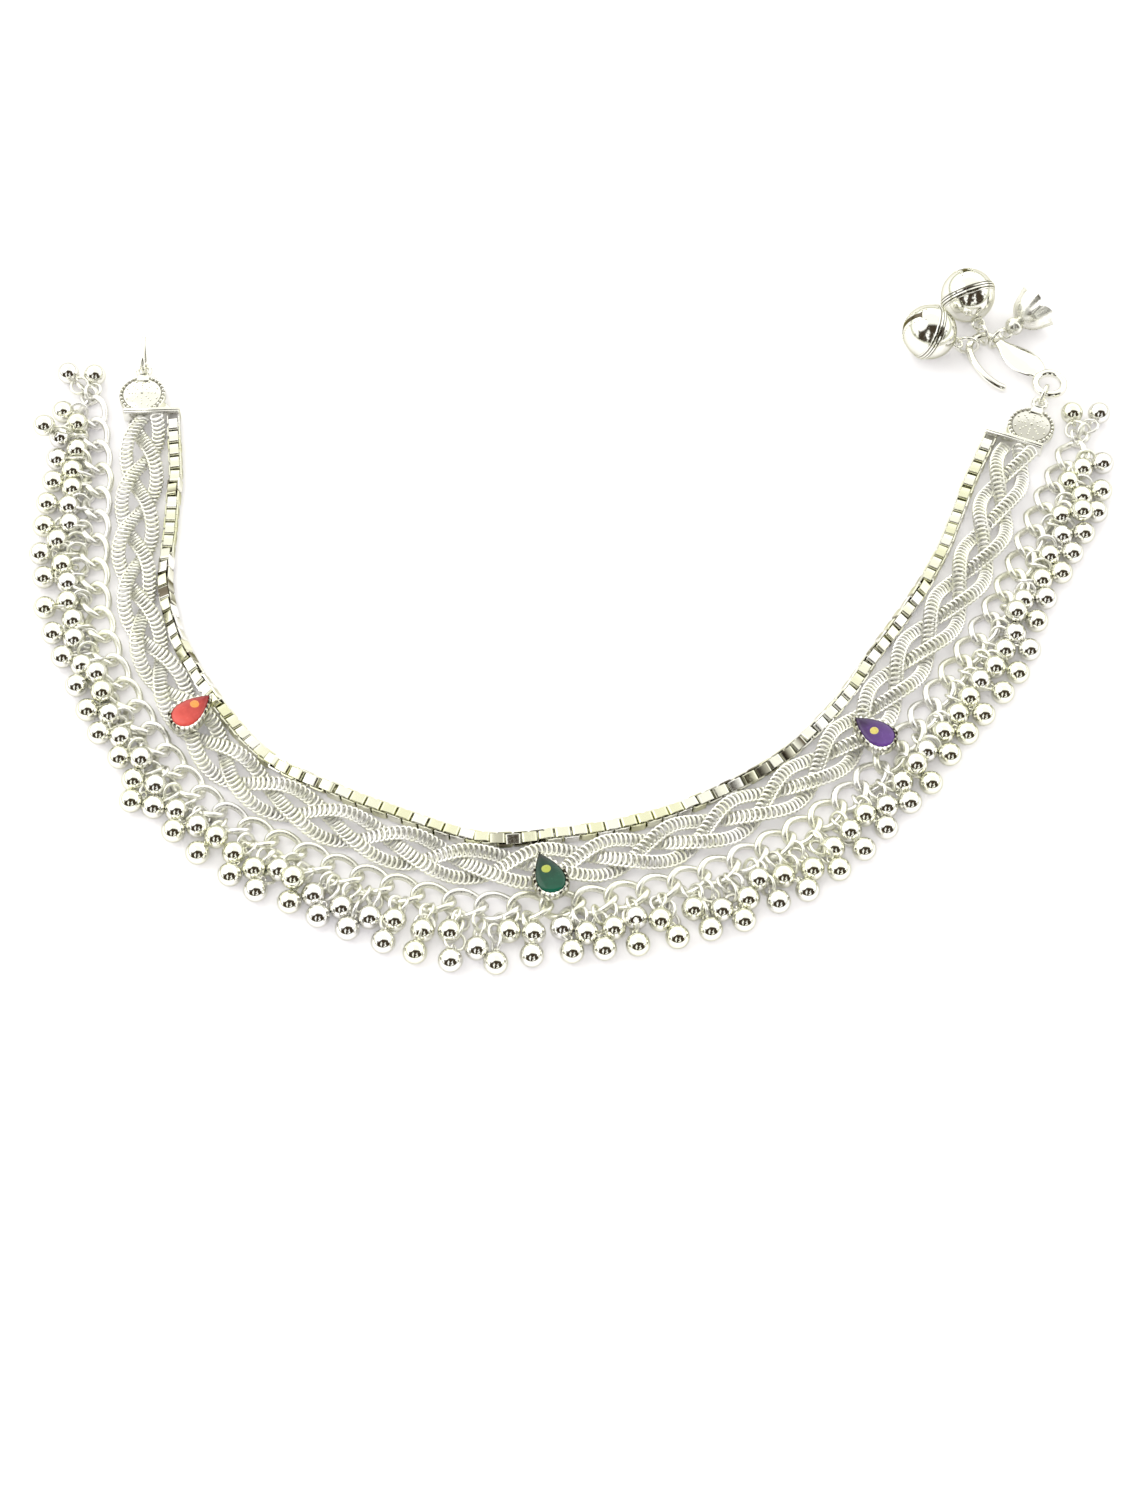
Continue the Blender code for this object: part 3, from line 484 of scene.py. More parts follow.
def box_link():
    """A box-chain link along X: a strip folded to a square ring in X and Z, its width along Y."""
    half = np.array([BOX_LENGTH - BOX_WALL, 0, BOX_SIDE - BOX_WALL]) / 2
    corner = BOX_CORNER - BOX_WALL / 2
    rings = []
    for quarter in range(4):
        for step in range(BOX_BENDS // 4):
            turn = pi / 2 * (quarter + step / (BOX_BENDS // 4 - 1))
            diagonal = pi / 4 + pi / 2 * quarter
            middle = np.array([cos(diagonal), 0, sin(diagonal)])
            out = np.array([cos(turn), 0, sin(turn)])
            place = np.sign(middle) * (half - corner) + out * corner
            rings.append(strip_section(place, out, BOX_WALL / 2, BOX_STRIP / 2, BOX_CHAMFER))
    return skin(rings, closed=True)


def strip_section(place, out, half_wall, half_width, chamfer):
    """A flat strip's section with chamfered corners, its width along Y."""
    corners = []
    for side, edge in ((1, 1), (-1, 1), (-1, -1), (1, -1)):
        first = (side * half_wall, edge * (half_width - chamfer))
        second = (side * (half_wall - chamfer), edge * half_width)
        corners += [first, second] if side * edge > 0 else [second, first]
    return np.array([place + out * across + np.array([0, along, 0]) for across, along in corners])


class Joined:
    """Many small closed shapes gathered into one mesh object."""

    def __init__(self):
        self.points, self.faces, self.finishes, self.tones, self.depths = [], [], [], [], []
        self.count = 0

    def add(self, shape, origin=(0, 0, 0), axes=np.eye(3), finish=0, tone=0.5, depth=0.0):
        """Place a shape: the rows of axes are the ways its X, Y and Z point."""
        points, faces = shape
        self.points.append(np.array(origin) + points @ np.array(axes))
        self.faces += [tuple(index + self.count for index in face) for face in faces]
        self.finishes += [finish] * len(faces)
        self.tones.append(np.broadcast_to(tone, len(points)))
        self.depths.append(np.broadcast_to(depth, len(points)))
        self.count += len(points)

    def make(self, name, finishes, stands_for=(), slot="polished_silver", sharp=SHARP):
        """The finished mesh object, riding on the part's one body."""
        mesh = bpy.data.meshes.new(name)
        mesh.from_pydata(np.concatenate(self.points) * MM, [], self.faces)
        mesh.polygons.foreach_set("material_index", self.finishes)
        for finish in finishes:
            mesh.materials.append(finish)
        for label, values in (("tone", self.tones), ("depth", self.depths)):
            layer = mesh.attributes.new(label, "FLOAT", "POINT")
            layer.data.foreach_set("value", np.concatenate(values).astype(np.float32))
        mesh.shade_smooth()
        mesh.set_sharp_from_angle(angle=radians(sharp))
        mesh.update()
        obj = bpy.data.objects.new(name, mesh)
        bpy.context.scene.collection.objects.link(obj)
        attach(obj, "root")
        if stands_for:
            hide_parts(*stands_for)


# Materials


class Nodes:
    """Short calls for a shader's nodes and links."""

    def __init__(self, owner):
        owner.use_nodes = True
        self.tree = owner.node_tree

    def add(self, kind, **settings):
        node = self.tree.nodes.new(kind)
        for name, value in settings.items():
            setattr(node, name, value)
        return node

    def link(self, output, input_socket):
        self.tree.links.new(output, input_socket)

    def maths(self, operation, first, second=None):
        node = self.add("ShaderNodeMath", operation=operation)
        self.link(first, node.inputs[0])
        if isinstance(second, float):
            node.inputs[1].default_value = second
        elif second is not None:
            self.link(second, node.inputs[1])
        return node.outputs["Value"]

    def attribute(self, name):
        return self.add("ShaderNodeAttribute", attribute_name=name).outputs["Fac"]

    def noise(self, scale, detail, place="Object"):
        node = self.add("ShaderNodeTexNoise")
        node.inputs["Scale"].default_value = scale
        node.inputs["Detail"].default_value = detail
        self.link(self.add("ShaderNodeTexCoord").outputs[place], node.inputs["Vector"])
        return node.outputs["Fac"]

    def ramp(self, factor, low, high, first, second):
        """A value that goes from first to second while the factor goes from low to high."""
        node = self.add("ShaderNodeMapRange")
        for name, value in zip(("From Min", "From Max", "To Min", "To Max"), (low, high, first, second)):
            node.inputs[name].default_value = value
        self.link(factor, node.inputs["Value"])
        return node.outputs["Result"]

    def spread(self, noise, first, second):
        """A noise's middle range spread from one value to another."""
        return self.ramp(noise, 0.3, 0.7, first, second)

    def blend(self, factor, first, second):
        """Mix two colours; each is a colour or another node's output."""
        node = self.add("ShaderNodeMix", data_type="RGBA")
        self.link(factor, node.inputs["Factor"])
        for socket, colour in (("A", first), ("B", second)):
            entry = [item for item in node.inputs if item.name == socket and item.type == "RGBA"][0]
            if isinstance(colour, tuple):
                entry.default_value = (*colour, 1.0)
            else:
                self.link(colour, entry)
        return [item for item in node.outputs if item.type == "RGBA"][0]


LOW_STUDIO = (0.62, 0.63, 0.47)
MIDDLE_STUDIO = (2.0, 2.0, 1.9)
HIGH_STUDIO = (1.24, 1.23, 1.12)
DARK_STUDIO = (0.035, 0.025, 0.015)
WARM_SILVER = (0.91, 0.91, 0.78)
COOL_SILVER = (0.89, 0.88, 0.87)
EDGE_SILVER = (0.52, 0.52, 0.38)
# The dark colour of painted shade in recesses, creases and notches, and of plain dark patches
SHADE_AND_PATCH_DARK = (0.08, 0.065, 0.045)
PALE_GILT = (0.72, 0.72, 0.47)
PALE_EDGE = (0.86, 0.86, 0.76)
FLOOR_WHITE = (0.95, 0.935, 0.965)
FLOOR_LILAC = (0.935, 0.915, 0.955)

# Each silver: its roughness, the size and height of its grain, its warm tone and its edge's tint
SILVERS = {
    "bright_silver": (0.10, 0.35, 0.004, WARM_SILVER, EDGE_SILVER),
    "satin_silver": (0.24, 0.8, 0.002, WARM_SILVER, EDGE_SILVER),
    "link_silver": (0.3, 0.3, 0.003, WARM_SILVER, EDGE_SILVER),
    "ball_silver": (0.05, 0.6, 0.002, WARM_SILVER, EDGE_SILVER),
    "box_silver": (0.17, 0.3, 0.004, PALE_GILT, EDGE_SILVER),
    "curb_silver": (0.34, 0.2, 0.002, WARM_SILVER, PALE_EDGE),
}
# Enamel and dot of each stone: the colours of its tip and its round end, the dot's and its shade
ENAMEL = {
    "red": ((0.20, 0.006, 0.008), (0.62, 0.06, 0.045), (0.75, 0.27, 0.03), (0.65, 0.17, 0.01)),
    "green": ((0.003, 0.005, 0.003), (0.001, 0.055, 0.028), (0.36, 0.40, 0.04), (0.25, 0.3, 0.02)),
    "purple": ((0.010, 0.002, 0.015), (0.085, 0.03, 0.19), (0.62, 0.50, 0.11), (0.42, 0.34, 0.05)),
}


def new_material(name):
    made = bpy.data.materials.new(name)
    nodes = Nodes(made)
    return made, nodes, nodes.tree.nodes["Principled BSDF"]


def silver(name, roughness, grain_size, grain_height, warm, edge):
    """Polished silver: each link a little warmer or cooler, fine wear in its gloss, and a dark colour
    laid by the depth attribute: painted shade in recesses, creases and notches, plain dark patches
    elsewhere.
    """
    made, nodes, shader = new_material(name)
    shader.inputs["Metallic"].default_value = 1.0
    shader.inputs["Specular Tint"].default_value = (*edge, 1.0)
    tone = nodes.blend(nodes.attribute("tone"), COOL_SILVER, warm)
    # The depth attribute blends in the dark colour: painted shade in recesses, creases, notches and the
    # bell's slit, plain dark patches on some box faces and disc domes
    recess = nodes.ramp(nodes.attribute("depth"), 0.15, 0.9, 0.0, 1.0)
    nodes.link(nodes.blend(recess, tone, SHADE_AND_PATCH_DARK), shader.inputs["Base Color"])
    wear = nodes.noise(1 / (grain_size * MM), 6.0)
    nodes.link(nodes.spread(wear, roughness * 0.7, roughness * 1.5), shader.inputs["Roughness"])
    bump = nodes.add("ShaderNodeBump")
    bump.inputs["Strength"].default_value = 0.5
    bump.inputs["Distance"].default_value = grain_height * MM
    nodes.link(wear, bump.inputs["Height"])
    nodes.link(bump.outputs["Normal"], shader.inputs["Normal"])
    return made


def enamel(name, tip, round_end):
    """Glossy enamel over foil, which changes from the drop's tip to its round end."""
    made, nodes, shader = new_material(name)
    shader.inputs["Specular IOR Level"].default_value = 0.15
    shader.inputs["Coat Weight"].default_value = 0.25
    shader.inputs["Coat Roughness"].default_value = 0.04
    mottle = nodes.noise(1 / (0.9 * MM), 4.0)
    place = nodes.maths("ADD", nodes.attribute("tone"), nodes.spread(mottle, -0.12, 0.12))
    nodes.link(nodes.blend(place, tip, round_end), shader.inputs["Base Color"])
    nodes.link(nodes.spread(mottle, 0.16, 0.3), shader.inputs["Roughness"])
    return made


def paint(name, colour, shade):
    """The enamel dot's paint, a little uneven."""
    made, nodes, shader = new_material(name)
    mottle = nodes.noise(1 / (0.4 * MM), 3.0)
    nodes.link(nodes.blend(mottle, shade, colour), shader.inputs["Base Color"])
    nodes.link(nodes.spread(mottle, 0.25, 0.4), shader.inputs["Roughness"])
    return made


# Box chain


def turned_at(share):
    """How far the box chain lies turned at a share of its length, and how strongly its painted recess
    shade and dark face patches show there.
    """
    turned_share, darkening = 0.0, 0.0
    for start, end, turn, dark in BOX_TURNED:
        inside = min(share - start, end - share) / (BOX_SOFT_END * (end - start))
        inside = min(max(inside, 0.0), 1.0)
        turned_share, darkening = max(turned_share, turn * inside), max(darkening, dark * inside)
    return turned_share, darkening


def box_chain_at(share, middle):
    return BAND.at(share * BAND.length, -from_table(BOX_CHAIN_LIE, share), middle)


def build_box_chain(finish):
    """Square links, each turned a quarter from the last."""
    link = box_link()
    points = link[0]
    inset = np.minimum(BOX_LENGTH / 2 - abs(points[:, 0]), BOX_SIDE / 2 - abs(points[:, 2]))
    inner = np.clip(inset / BOX_WALL, 0, 1)
    bend = np.arange(len(points)) * BOX_BENDS // len(points)
    side_of_point = (bend + 1) * 4 // BOX_BENDS % 4
    count = int(BAND.length / BOX_PITCH)
    joined = Joined()
    for k in range(count):
        share = (k + 0.5) / count
        turned_share, darkening = turned_at(share)
        middle = BOX_SIDE / 2 + BOX_LIFT * turned_share
        here = box_chain_at(share, middle)
        along = unit(box_chain_at(min(share + 0.004, 1.0), middle) - here)
        scatter = BOX_SCATTER + BOX_SLACK * turned_share
        uneven = radians(BOX_SWAY * sin(k * BOX_SWAY_STEP) + scatter * wander(k))
        roll = uneven + BOX_ROLL * turned_share
        side = level_across(along) * cos(roll) + UP * sin(roll)
        lift = np.cross(along, side)
        axes = (along, side, lift) if k % 2 else (along, lift, -side)
        # Painted shade inside each link, stronger in turned stretches, where some whole faces also get
        # dark patches
        faces = np.array([darkening * (wander(k * 4 + n, 1) > BOX_DARK_FACE_OVER) for n in range(4)])
        patchy = np.array([0.6 + 1.2 * wander(k * BOX_BENDS + n, 3) for n in range(BOX_BENDS)])
        recess = inner * (BOX_RECESS_SHADE + (1 - BOX_RECESS_SHADE) * darkening)
        depth = np.maximum(recess, faces[side_of_point] * patchy[bend])
        joined.add(link, here, axes, tone=0.5 + wander(k, 2), depth=depth)
    joined.make("box_chain_links", [finish], ["box_chain"], sharp=BOX_SHARP)


# Braided curb strands


def braid_half_width(share):
    return min(BRAID_SPREAD, from_table(BOX_CHAIN_LIE, share) - BOX_SIDE / 2 - GAP / 2)


def strand_place(distance, number):
    """A strand's place in the braid: side to side once a turn, and up and down twice."""
    phase = 2 * pi * (number / STRANDS + distance / BRAID_TURN)
    reach = braid_half_width(distance / BAND.length) - CURB_HALF_WIDTH - CURB_WIRE / 2
    return BAND.at(distance, reach * sin(phase), BRAID_MIDDLE + BRAID_RISE * sin(2 * phase))


def build_strand(number, finish):
    """One strand of flat curb links along its way through the braid."""
    line = np.array([strand_place(distance, number)
                     for distance in np.linspace(0, BAND.length, STRAND_SAMPLES)])
    walked = np.concatenate([[0.0], np.cumsum(np.linalg.norm(np.diff(line, axis=0), axis=1))])
    link = twisted_link(CURB_HALF_LENGTH, CURB_HALF_WIDTH, CURB_WIRE, CURB_TWIST, 14, 6, CURB_LEAN)
    # Painted shade: each link darker towards its underside
    recess = np.clip(0.2 - 0.5 * link[0][:, 2] / CURB_WIRE, 0, 0.4)
    count = int((walked[-1] - 2 * CURB_HALF_LENGTH) / CURB_PITCH)
    joined = Joined()
    for k in range(count + 1):
        distance = CURB_HALF_LENGTH + k * CURB_PITCH
        here, there = [np.array([np.interp(distance + step, walked, line[:, axis]) for axis in range(3)])
                       for step in (0.0, 0.2)]
        along = unit(there - here)
        roll = radians(CURB_SWAY * sin(k * CURB_SWAY_STEP + number))
        side = level_across(along) * cos(roll) + UP * sin(roll)
        side = unit(side - along * (side @ along))
        axes = (along, side, np.cross(along, side))
        joined.add(link, here, axes, tone=0.5 + wander(k, number), depth=recess)
    letter = "abc"[number]
    joined.make(f"curb_strand_{letter}", [finish], [f"braid_strand_{letter}"], "strand_silver")


# Cable chain with its balls


def link_line():
    """The link chain's centre line: beside the braid, past its ends, and aside at both ends."""
    clear = BRAID_HALF_WIDTH + GAP + LINK_WIRE / 2 + LINK_HALF_WIDTH
    aside = np.array([clear + from_table(CHAIN_TURN_ASIDE, d / BAND.length) for d in BAND.distance])
    line = BAND.line + BAND.outward * aside[:, None]
    first = line[0] + unit(line[0] - line[1]) * CHAIN_OVERHANG
    last = line[-1] + unit(line[-1] - line[-2]) * CHAIN_OVERHANG
    return Route(np.vstack([first, line, last]))


CHAIN = link_line()
CHAIN_RISE = LINK_WIRE / 2 + LINK_HALF_WIDTH * 0.5 ** 0.5 * sin(LINK_TWIST * 0.5 ** 0.5)
LINK_COUNT = int((CHAIN.length - 2 * LINK_HALF_LENGTH) // LINK_PITCH) + 1
FIRST_LINK = (CHAIN.length - (LINK_COUNT - 1) * LINK_PITCH) / 2


def build_cable_chain(finish):
    """The twisted links, each through the next."""
    link = twisted_link(LINK_HALF_LENGTH, LINK_HALF_WIDTH, LINK_WIRE, LINK_TWIST, 26, 12)
    joined = Joined()
    for k in range(LINK_COUNT):
        distance = FIRST_LINK + k * LINK_PITCH
        axes = (CHAIN.along(distance), CHAIN.side(distance), UP)
        joined.add(link, CHAIN.at(distance, 0.0, CHAIN_RISE), axes, tone=0.5 + wander(k, 5))
    joined.make("cable_links", [finish], ["ghungroo_chain_left", "ghungroo_chain_right"])


def outer_side(distance):
    """Where a jump ring holds a link: the middle of the wire on its outer side."""
    return CHAIN.at(distance, LINK_HALF_WIDTH * 0.98, CHAIN_RISE)


def outer_balls():
    """The outer row: what holds each ball, and its centre."""
    anchors, centres = [], []
    for number in range(LINK_COUNT):
        distance = FIRST_LINK + number * LINK_PITCH
        shift = (number * GOLDEN) % 1 - 0.5
        stretch = (number * GOLDEN * GOLDEN * 3) % 1 - 0.5
        drop = from_table(BALL_DROP, distance / CHAIN.length) + stretch * BALL_SPREAD
        reach = LINK_HALF_WIDTH + LINK_WIRE / 2 + max(drop, 0) + BALL_DIAMETER / 2
        anchors.append(outer_side(distance + 0.4 * shift * BALL_SPREAD))
        centres.append(CHAIN.at(distance + shift * BALL_SPREAD, reach, BALL_DIAMETER / 2))
    return anchors, centres


def end_balls():
    """The balls that hang past the chain's two ends."""
    anchors, centres = [], []
    overhang = FIRST_LINK - LINK_HALF_LENGTH
    for side, distance, turn in (("left", overhang, -1.0), ("right", CHAIN.length - overhang, 1.0)):
        for outward, beyond in END_BALLS[side]:
            anchors.append(CHAIN.at(distance, 0.0, CHAIN_RISE))
            spread = CHAIN.side(distance) * outward + CHAIN.along(distance) * turn * beyond
            centres.append(CHAIN.at(distance, 0.0, BALL_DIAMETER / 2) + spread)
    return anchors, centres


def inner_balls():
    """The inner row before it settles: between the links and the outer row, one or two to a link."""
    pitch = LINK_PITCH / INNER_BALLS_PER_LINK
    low, high = INNER_DROPS
    anchors, centres = [], []
    for number in range(int(LINK_COUNT * INNER_BALLS_PER_LINK)):
        distance = FIRST_LINK + (number + 0.5 + 0.5 * wander(number, 7)) * pitch
        distance = min(distance, CHAIN.length - FIRST_LINK)
        share = low + (high - low) * (wander(number, 8) + 0.5)
        drop = from_table(BALL_DROP, distance / CHAIN.length) * share
        reach = LINK_HALF_WIDTH + LINK_WIRE / 2 + drop + BALL_DIAMETER / 2
        anchors.append(outer_side(distance))
        centres.append(CHAIN.at(distance, reach, BALL_DIAMETER * (0.75 + 0.5 * wander(number, 9))))
    return anchors, centres


def settle(anchors, centres, fixed):
    """Let the balls after the fixed ones give way and sink until none stands in another."""
    apart = BALL_DIAMETER + BALL_SPACE
    nearest = LINK_WIRE / 2 + BALL_DIAMETER / 2
    for _ in range(SETTLING_ROUNDS):
        centres[fixed:, 2] -= SETTLING_SINK
        offset = centres[:, None] - centres[None]
        distance = np.linalg.norm(offset, axis=2) + np.eye(len(centres))
        overlap = np.clip(apart - distance, 0, None) * (1 - np.eye(len(centres)))
        push = (offset / distance[:, :, None] * overlap[:, :, None] * 0.5).sum(axis=1)
        from_link = centres - anchors
        away = np.linalg.norm(from_link, axis=1)
        push += from_link / away[:, None] * np.clip(nearest - away, 0, None)[:, None]
        centres[fixed:] += push[fixed:]
        centres[:, 2] = np.maximum(centres[:, 2], BALL_DIAMETER / 2)
    return centres


def ring_axes(span, tilt):
    """A ring's axes: X along the span that it bridges, Y up, leaned by the tilt."""
    across = level_across(span)
    lift = np.cross(span, across)
    upward = lift * cos(tilt) + across * sin(tilt)
    return span, upward, np.cross(span, upward)


def raise_ring(centre, axes):
    """Lift a ring's centre until the ring stands on the table."""
    lowest = HANGER_RADIUS * hypot(axes[0][2], axes[1][2]) + HANGER_WIRE / 2
    return centre + UP * max(lowest - centre[2], 0.0)


def hanger_places(length):
    """How far along a span each of its jump rings has its middle, each held by the one before."""
    first = min(HANGER_RADIUS - (LINK_WIRE + HANGER_WIRE) / 2, length / 2)
    last = min(HANGER_RADIUS - (BALL_LOOP_WIRE + HANGER_WIRE) / 2, length / 2)
    between = length - first - last
    count = 1 + int(np.ceil(between / (2 * HANGER_RADIUS - HANGER_WIRE)))
    return np.linspace(first, length - last, count) if count > 1 else [length / 2]


def build_balls(ball_finish, ring_finish):
    """The balls with their loops, and the jump rings that hang them on the links."""
    anchors, centres = outer_balls()
    for more_anchors, more_centres in (end_balls(), inner_balls()):
        fixed = len(centres)
        anchors += more_anchors
        centres += more_centres
    centres = settle(np.array(anchors), np.array(centres), fixed)
    ball_shape = ball(BALL_DIAMETER / 2, 28, 14)
    loop = round_ring(BALL_LOOP_RADIUS, BALL_LOOP_WIRE, 14, 8)
    ring = round_ring(HANGER_RADIUS, HANGER_WIRE, 26, 8)
    balls, rings = Joined(), Joined()
    for k, (anchor, centre) in enumerate(zip(anchors, centres)):
        way = unit(anchor - centre)
        eye = centre + way * (BALL_DIAMETER / 2 + BALL_LOOP_RADIUS * 0.8)
        side = level_across(way)
        lift = np.cross(way, side)
        tone = 0.5 + wander(k, 11)
        tilt = HANGER_TILT * (1 if k % 2 else -1) * (0.8 + 0.5 * wander(k, 12))
        balls.add(ball_shape, centre, (side, lift, way), tone=tone)
        flat = side * cos(tilt) - lift * sin(tilt)
        balls.add(loop, eye, (way, flat, np.cross(way, flat)), tone=tone)
        length = np.linalg.norm(eye - anchor)
        for n, place in enumerate(hanger_places(length)):
            axes = ring_axes((eye - anchor) / length, tilt + HANGER_NEXT_TURN * n)
            rings.add(ring, raise_ring(anchor + axes[0] * place, axes), axes, tone=0.5 + wander(k, n))
    balls.make("ghungroo_balls", [ball_finish])
    rings.make("ball_rings", [ring_finish])


# End plates, eye and hook


def ring_height():
    return RING_RADIUS + RING_WIRE / 2


def plate_frame(side):
    """An end plate's disc centre, and the ways away from the chain, outward and up."""
    distance, turn = (0.0, -1.0) if side == "left" else (BAND.length, 1.0)
    away = BAND.along(distance) * turn
    centre = BAND.at(distance, DISC_ASIDE) + away * (RIB_WIDTH / 2 + GAP + PLATE_LENGTH)
    return centre, away, BAND.side(distance)


def on_plate(side, forward, aside=0.0, height=0.0):
    """A point by an end plate, from its disc's middle: away from the chain, outward and up."""
    centre, away, outward = plate_frame(side)
    return centre + away * forward + outward * aside + UP * height


def lug_hole(side):
    return on_plate(side, DISC_DIAMETER / 2 + LUG_FROM_DISC, 0.0, ring_height())


def slab(side, corners, bottom, top, bevel):
    """An upright solid over corners by an end plate, with a small bevel round its top."""
    outline = [on_plate(side, *corner)[:2] for corner in corners]
    middle = np.mean(outline, axis=0)
    rings = []
    for inset, height in ((0.0, bottom), (0.0, top - bevel), (bevel, top)):
        ring = []
        for corner in outline:
            spread = corner - middle
            spread *= 1 - inset / np.linalg.norm(spread)
            ring.append([*(middle + spread), height])
        rings.append(np.array(ring))
    return skin(rings, closed=False)


def rod(start, end, radius, sides):
    """A straight wire with round ends."""
    along = unit(end - start)
    across = level_across(along)
    lift = np.cross(along, across)
    rings = []
    for share, inset in ((0.0, 0.6), (0.25, 0.9), (0.5, 1.0)):
        rings.append((start + along * radius * (share - 0.5), radius * inset))
    for share, inset in ((0.5, 1.0), (0.25, 0.9), (0.0, 0.6)):
        rings.append((end - along * radius * (share - 0.5), radius * inset))
    return skin([oval(place, across, lift, size, size, sides) for place, size in rings], closed=False)


def add_bar(joined, side):
    """The plate's base, and the bar with three ridges that holds the chains."""
    share = 0.0 if side == "left" else 1.0
    near = -from_table(BOX_CHAIN_LIE, share) - BOX_SIDE / 2 - DISC_ASIDE
    far = BRAID_HALF_WIDTH - DISC_ASIDE
    bar_middle = -PLATE_LENGTH
    base = ((bar_middle, near + PLATE_INSET), (0.0, -PLATE_TIP), (0.0, PLATE_TIP),
            (bar_middle, far - PLATE_INSET))
    joined.add(slab(side, base, 0.0, PLATE_THICKNESS, BASE_BEVEL))
    back, front = bar_middle - RIB_WIDTH / 2, bar_middle + RIB_WIDTH / 2
    bar = ((back, near), (front, near), (front, far), (back, far))
    joined.add(slab(side, bar, 0.0, BAR_HEIGHT, BAR_BEVEL))
    for k in (-1, 0, 1):
        forward = bar_middle + k * RIDGE_PITCH
        height = BAR_HEIGHT + RIDGE_RISE - RIDGE_FALL * abs(k)
        start = on_plate(side, forward, near + RIDGE_RADIUS, height)
        end = on_plate(side, forward, far - RIDGE_RADIUS, height)
        joined.add(rod(start, end, RIDGE_RADIUS, 12), tone=0.5 + 0.3 * k)


def add_disc(joined, side):
    """The domed disc: a groove with a beaded edge, and a star of dots round its middle."""
    centre, away, outward = plate_frame(side)
    radius = DISC_DIAMETER / 2
    low = DISC_UNDERSIDE
    profile = [(0, low), (radius - DISC_EDGE, low), (radius, low + DISC_EDGE)]
    profile += [(radius * share - inset, DISC_FACE + height) for share, inset, height in DISC_TOP]
    dome = turned(profile, 56)
    across = np.hypot(dome[0][:, 0], dome[0][:, 1])
    inner, outer = [radius - inset for inset in DISC_GROOVE]
    # Painted shade in the groove, and a plainly darker dome, only on the disc's upper side
    groove_shade = DISC_GROOVE_SHADE * ((across > inner) & (across < outer))
    dome_dark = DISC_DOME_DARK[side] * (across < radius * DISC_DOME_DARK_SHARE)
    on_top = dome[0][:, 2] > DISC_DARK_FROM
    joined.add(dome, centre, depth=np.maximum(groove_shade, dome_dark) * on_top)

    def on_disc(turn, distance, height):
        return centre + (away * cos(turn) + outward * sin(turn)) * distance + UP * (DISC_FACE + height)

    bead = ball(DISC_BEAD_RADIUS, 12, 8)
    for k, turn in enumerate(full_turn(DISC_BEADS)):
        place = on_disc(turn, radius - DISC_BEAD_RADIUS, DISC_BEAD_RISE)
        joined.add(bead, place, tone=0.5 + wander(k, 21))
    dot = ball(STAR_DOT_RADIUS, 8, 4)
    for ray in full_turn(STAR_RAYS):
        for share in STAR_DOTS:
            between_rays = pi / STAR_RAYS if share == STAR_DOTS[-1] else 0
            height = STAR_HEIGHT - STAR_FALL * share ** STAR_CURVE
            joined.add(dot, on_disc(ray + between_rays, radius * share, height), tone=0.7)
    joined.add(ball(STAR_MIDDLE_RADIUS, 12, 8), on_disc(0.0, 0.0, STAR_HEIGHT - STAR_MIDDLE_SINK))


def add_lug(joined, side):
    """The drilled lug and its neck, level with the jump rings."""
    inner, outer, half = LUG_HOLE / 2, LUG_HOLE / 2 + LUG_WALL, LUG_THICKNESS / 2
    upper = [(outer, half - LUG_EDGE), (outer - LUG_EDGE, half)]
    upper += [(inner + LUG_EDGE, half), (inner, half - LUG_EDGE)]
    washer = [(across, -height) for across, height in reversed(upper)] + upper
    joined.add(turned(washer + washer[:1], 32), lug_hole(side))
    end = DISC_DIAMETER / 2 + LUG_FROM_DISC - inner - LUG_EDGE
    wide, narrow = [width / 2 for width in NECK_WIDTHS]
    neck = ((NECK_START, -wide), (NECK_START, wide), (end, narrow), (end, -narrow))
    joined.add(slab(side, neck, ring_height() - half, ring_height() + half, NECK_BEVEL))


def build_end_plate(side, finish):
    joined = Joined()
    add_bar(joined, side)
    add_disc(joined, side)
    add_lug(joined, side)
    joined.make(f"{side}_plate_fine", [finish], [f"end_plate_{side}"], sharp=PLATE_SHARP)


def drop_outline(length, width, points):
    """A drop's outline about its centre, its tip at +X: a round end and two straight sides to the tip."""
    radius = width / 2
    round_centre = radius - length / 2
    opening = acos(radius / (length / 2 - round_centre))
    round_points = points * 2 // 3
    outline = []
    for k in range(round_points + 1):
        turn = opening + (2 * pi - 2 * opening) * k / round_points
        outline.append(np.array([round_centre + radius * cos(turn), radius * sin(turn)]))
    side_points = (points - round_points) // 2
    tip, first, last = np.array([length / 2, 0.0]), outline[0], outline[-1]
    outline += [last + (tip - last) * k / side_points for k in range(1, side_points)]
    outline.append(tip)
    outline += [first + (tip - first) * k / side_points for k in range(side_points - 1, 0, -1)]
    return outline


def stone_outline(length, width, points):
    """A stone's outline about its centre, its tip at +X: a round end and full sides to the tip."""
    return [np.array([length / 2 * cos(a), width / 2 * sin(a) * STONE_SIDES * sin(a / 2)])
            for a in full_turn(points)]


def build_catch_eye(finish):
    """The pear-shaped wire eye that leans up out of the left lug."""
    away = plate_frame("left")[1]
    reach = away * cos(EYE_LEAN) + UP * sin(EYE_LEAN)
    lift = unit(np.cross(np.cross(away, UP), reach))
    outline = drop_outline(EYE_LENGTH - EYE_WIRE, EYE_WIDTH - EYE_WIRE, 48)
    middle = lug_hole("left") + reach * (EYE_LENGTH - EYE_WIRE) / 2
    points = [middle + reach * x + lift * y for x, y in outline]
    joined = Joined()
    joined.add(wire_loop(points, EYE_WIRE / 2, 12, unit(np.cross(reach, lift))))
    joined.make("pear_eye", [finish], ["catch_eye"])


def ring_span(wire):
    """Distance from a hole that a jump ring passes through to the middle of the wire it holds."""
    return 2 * RING_RADIUS - RING_WIRE / 2 - wire / 2 - GAP


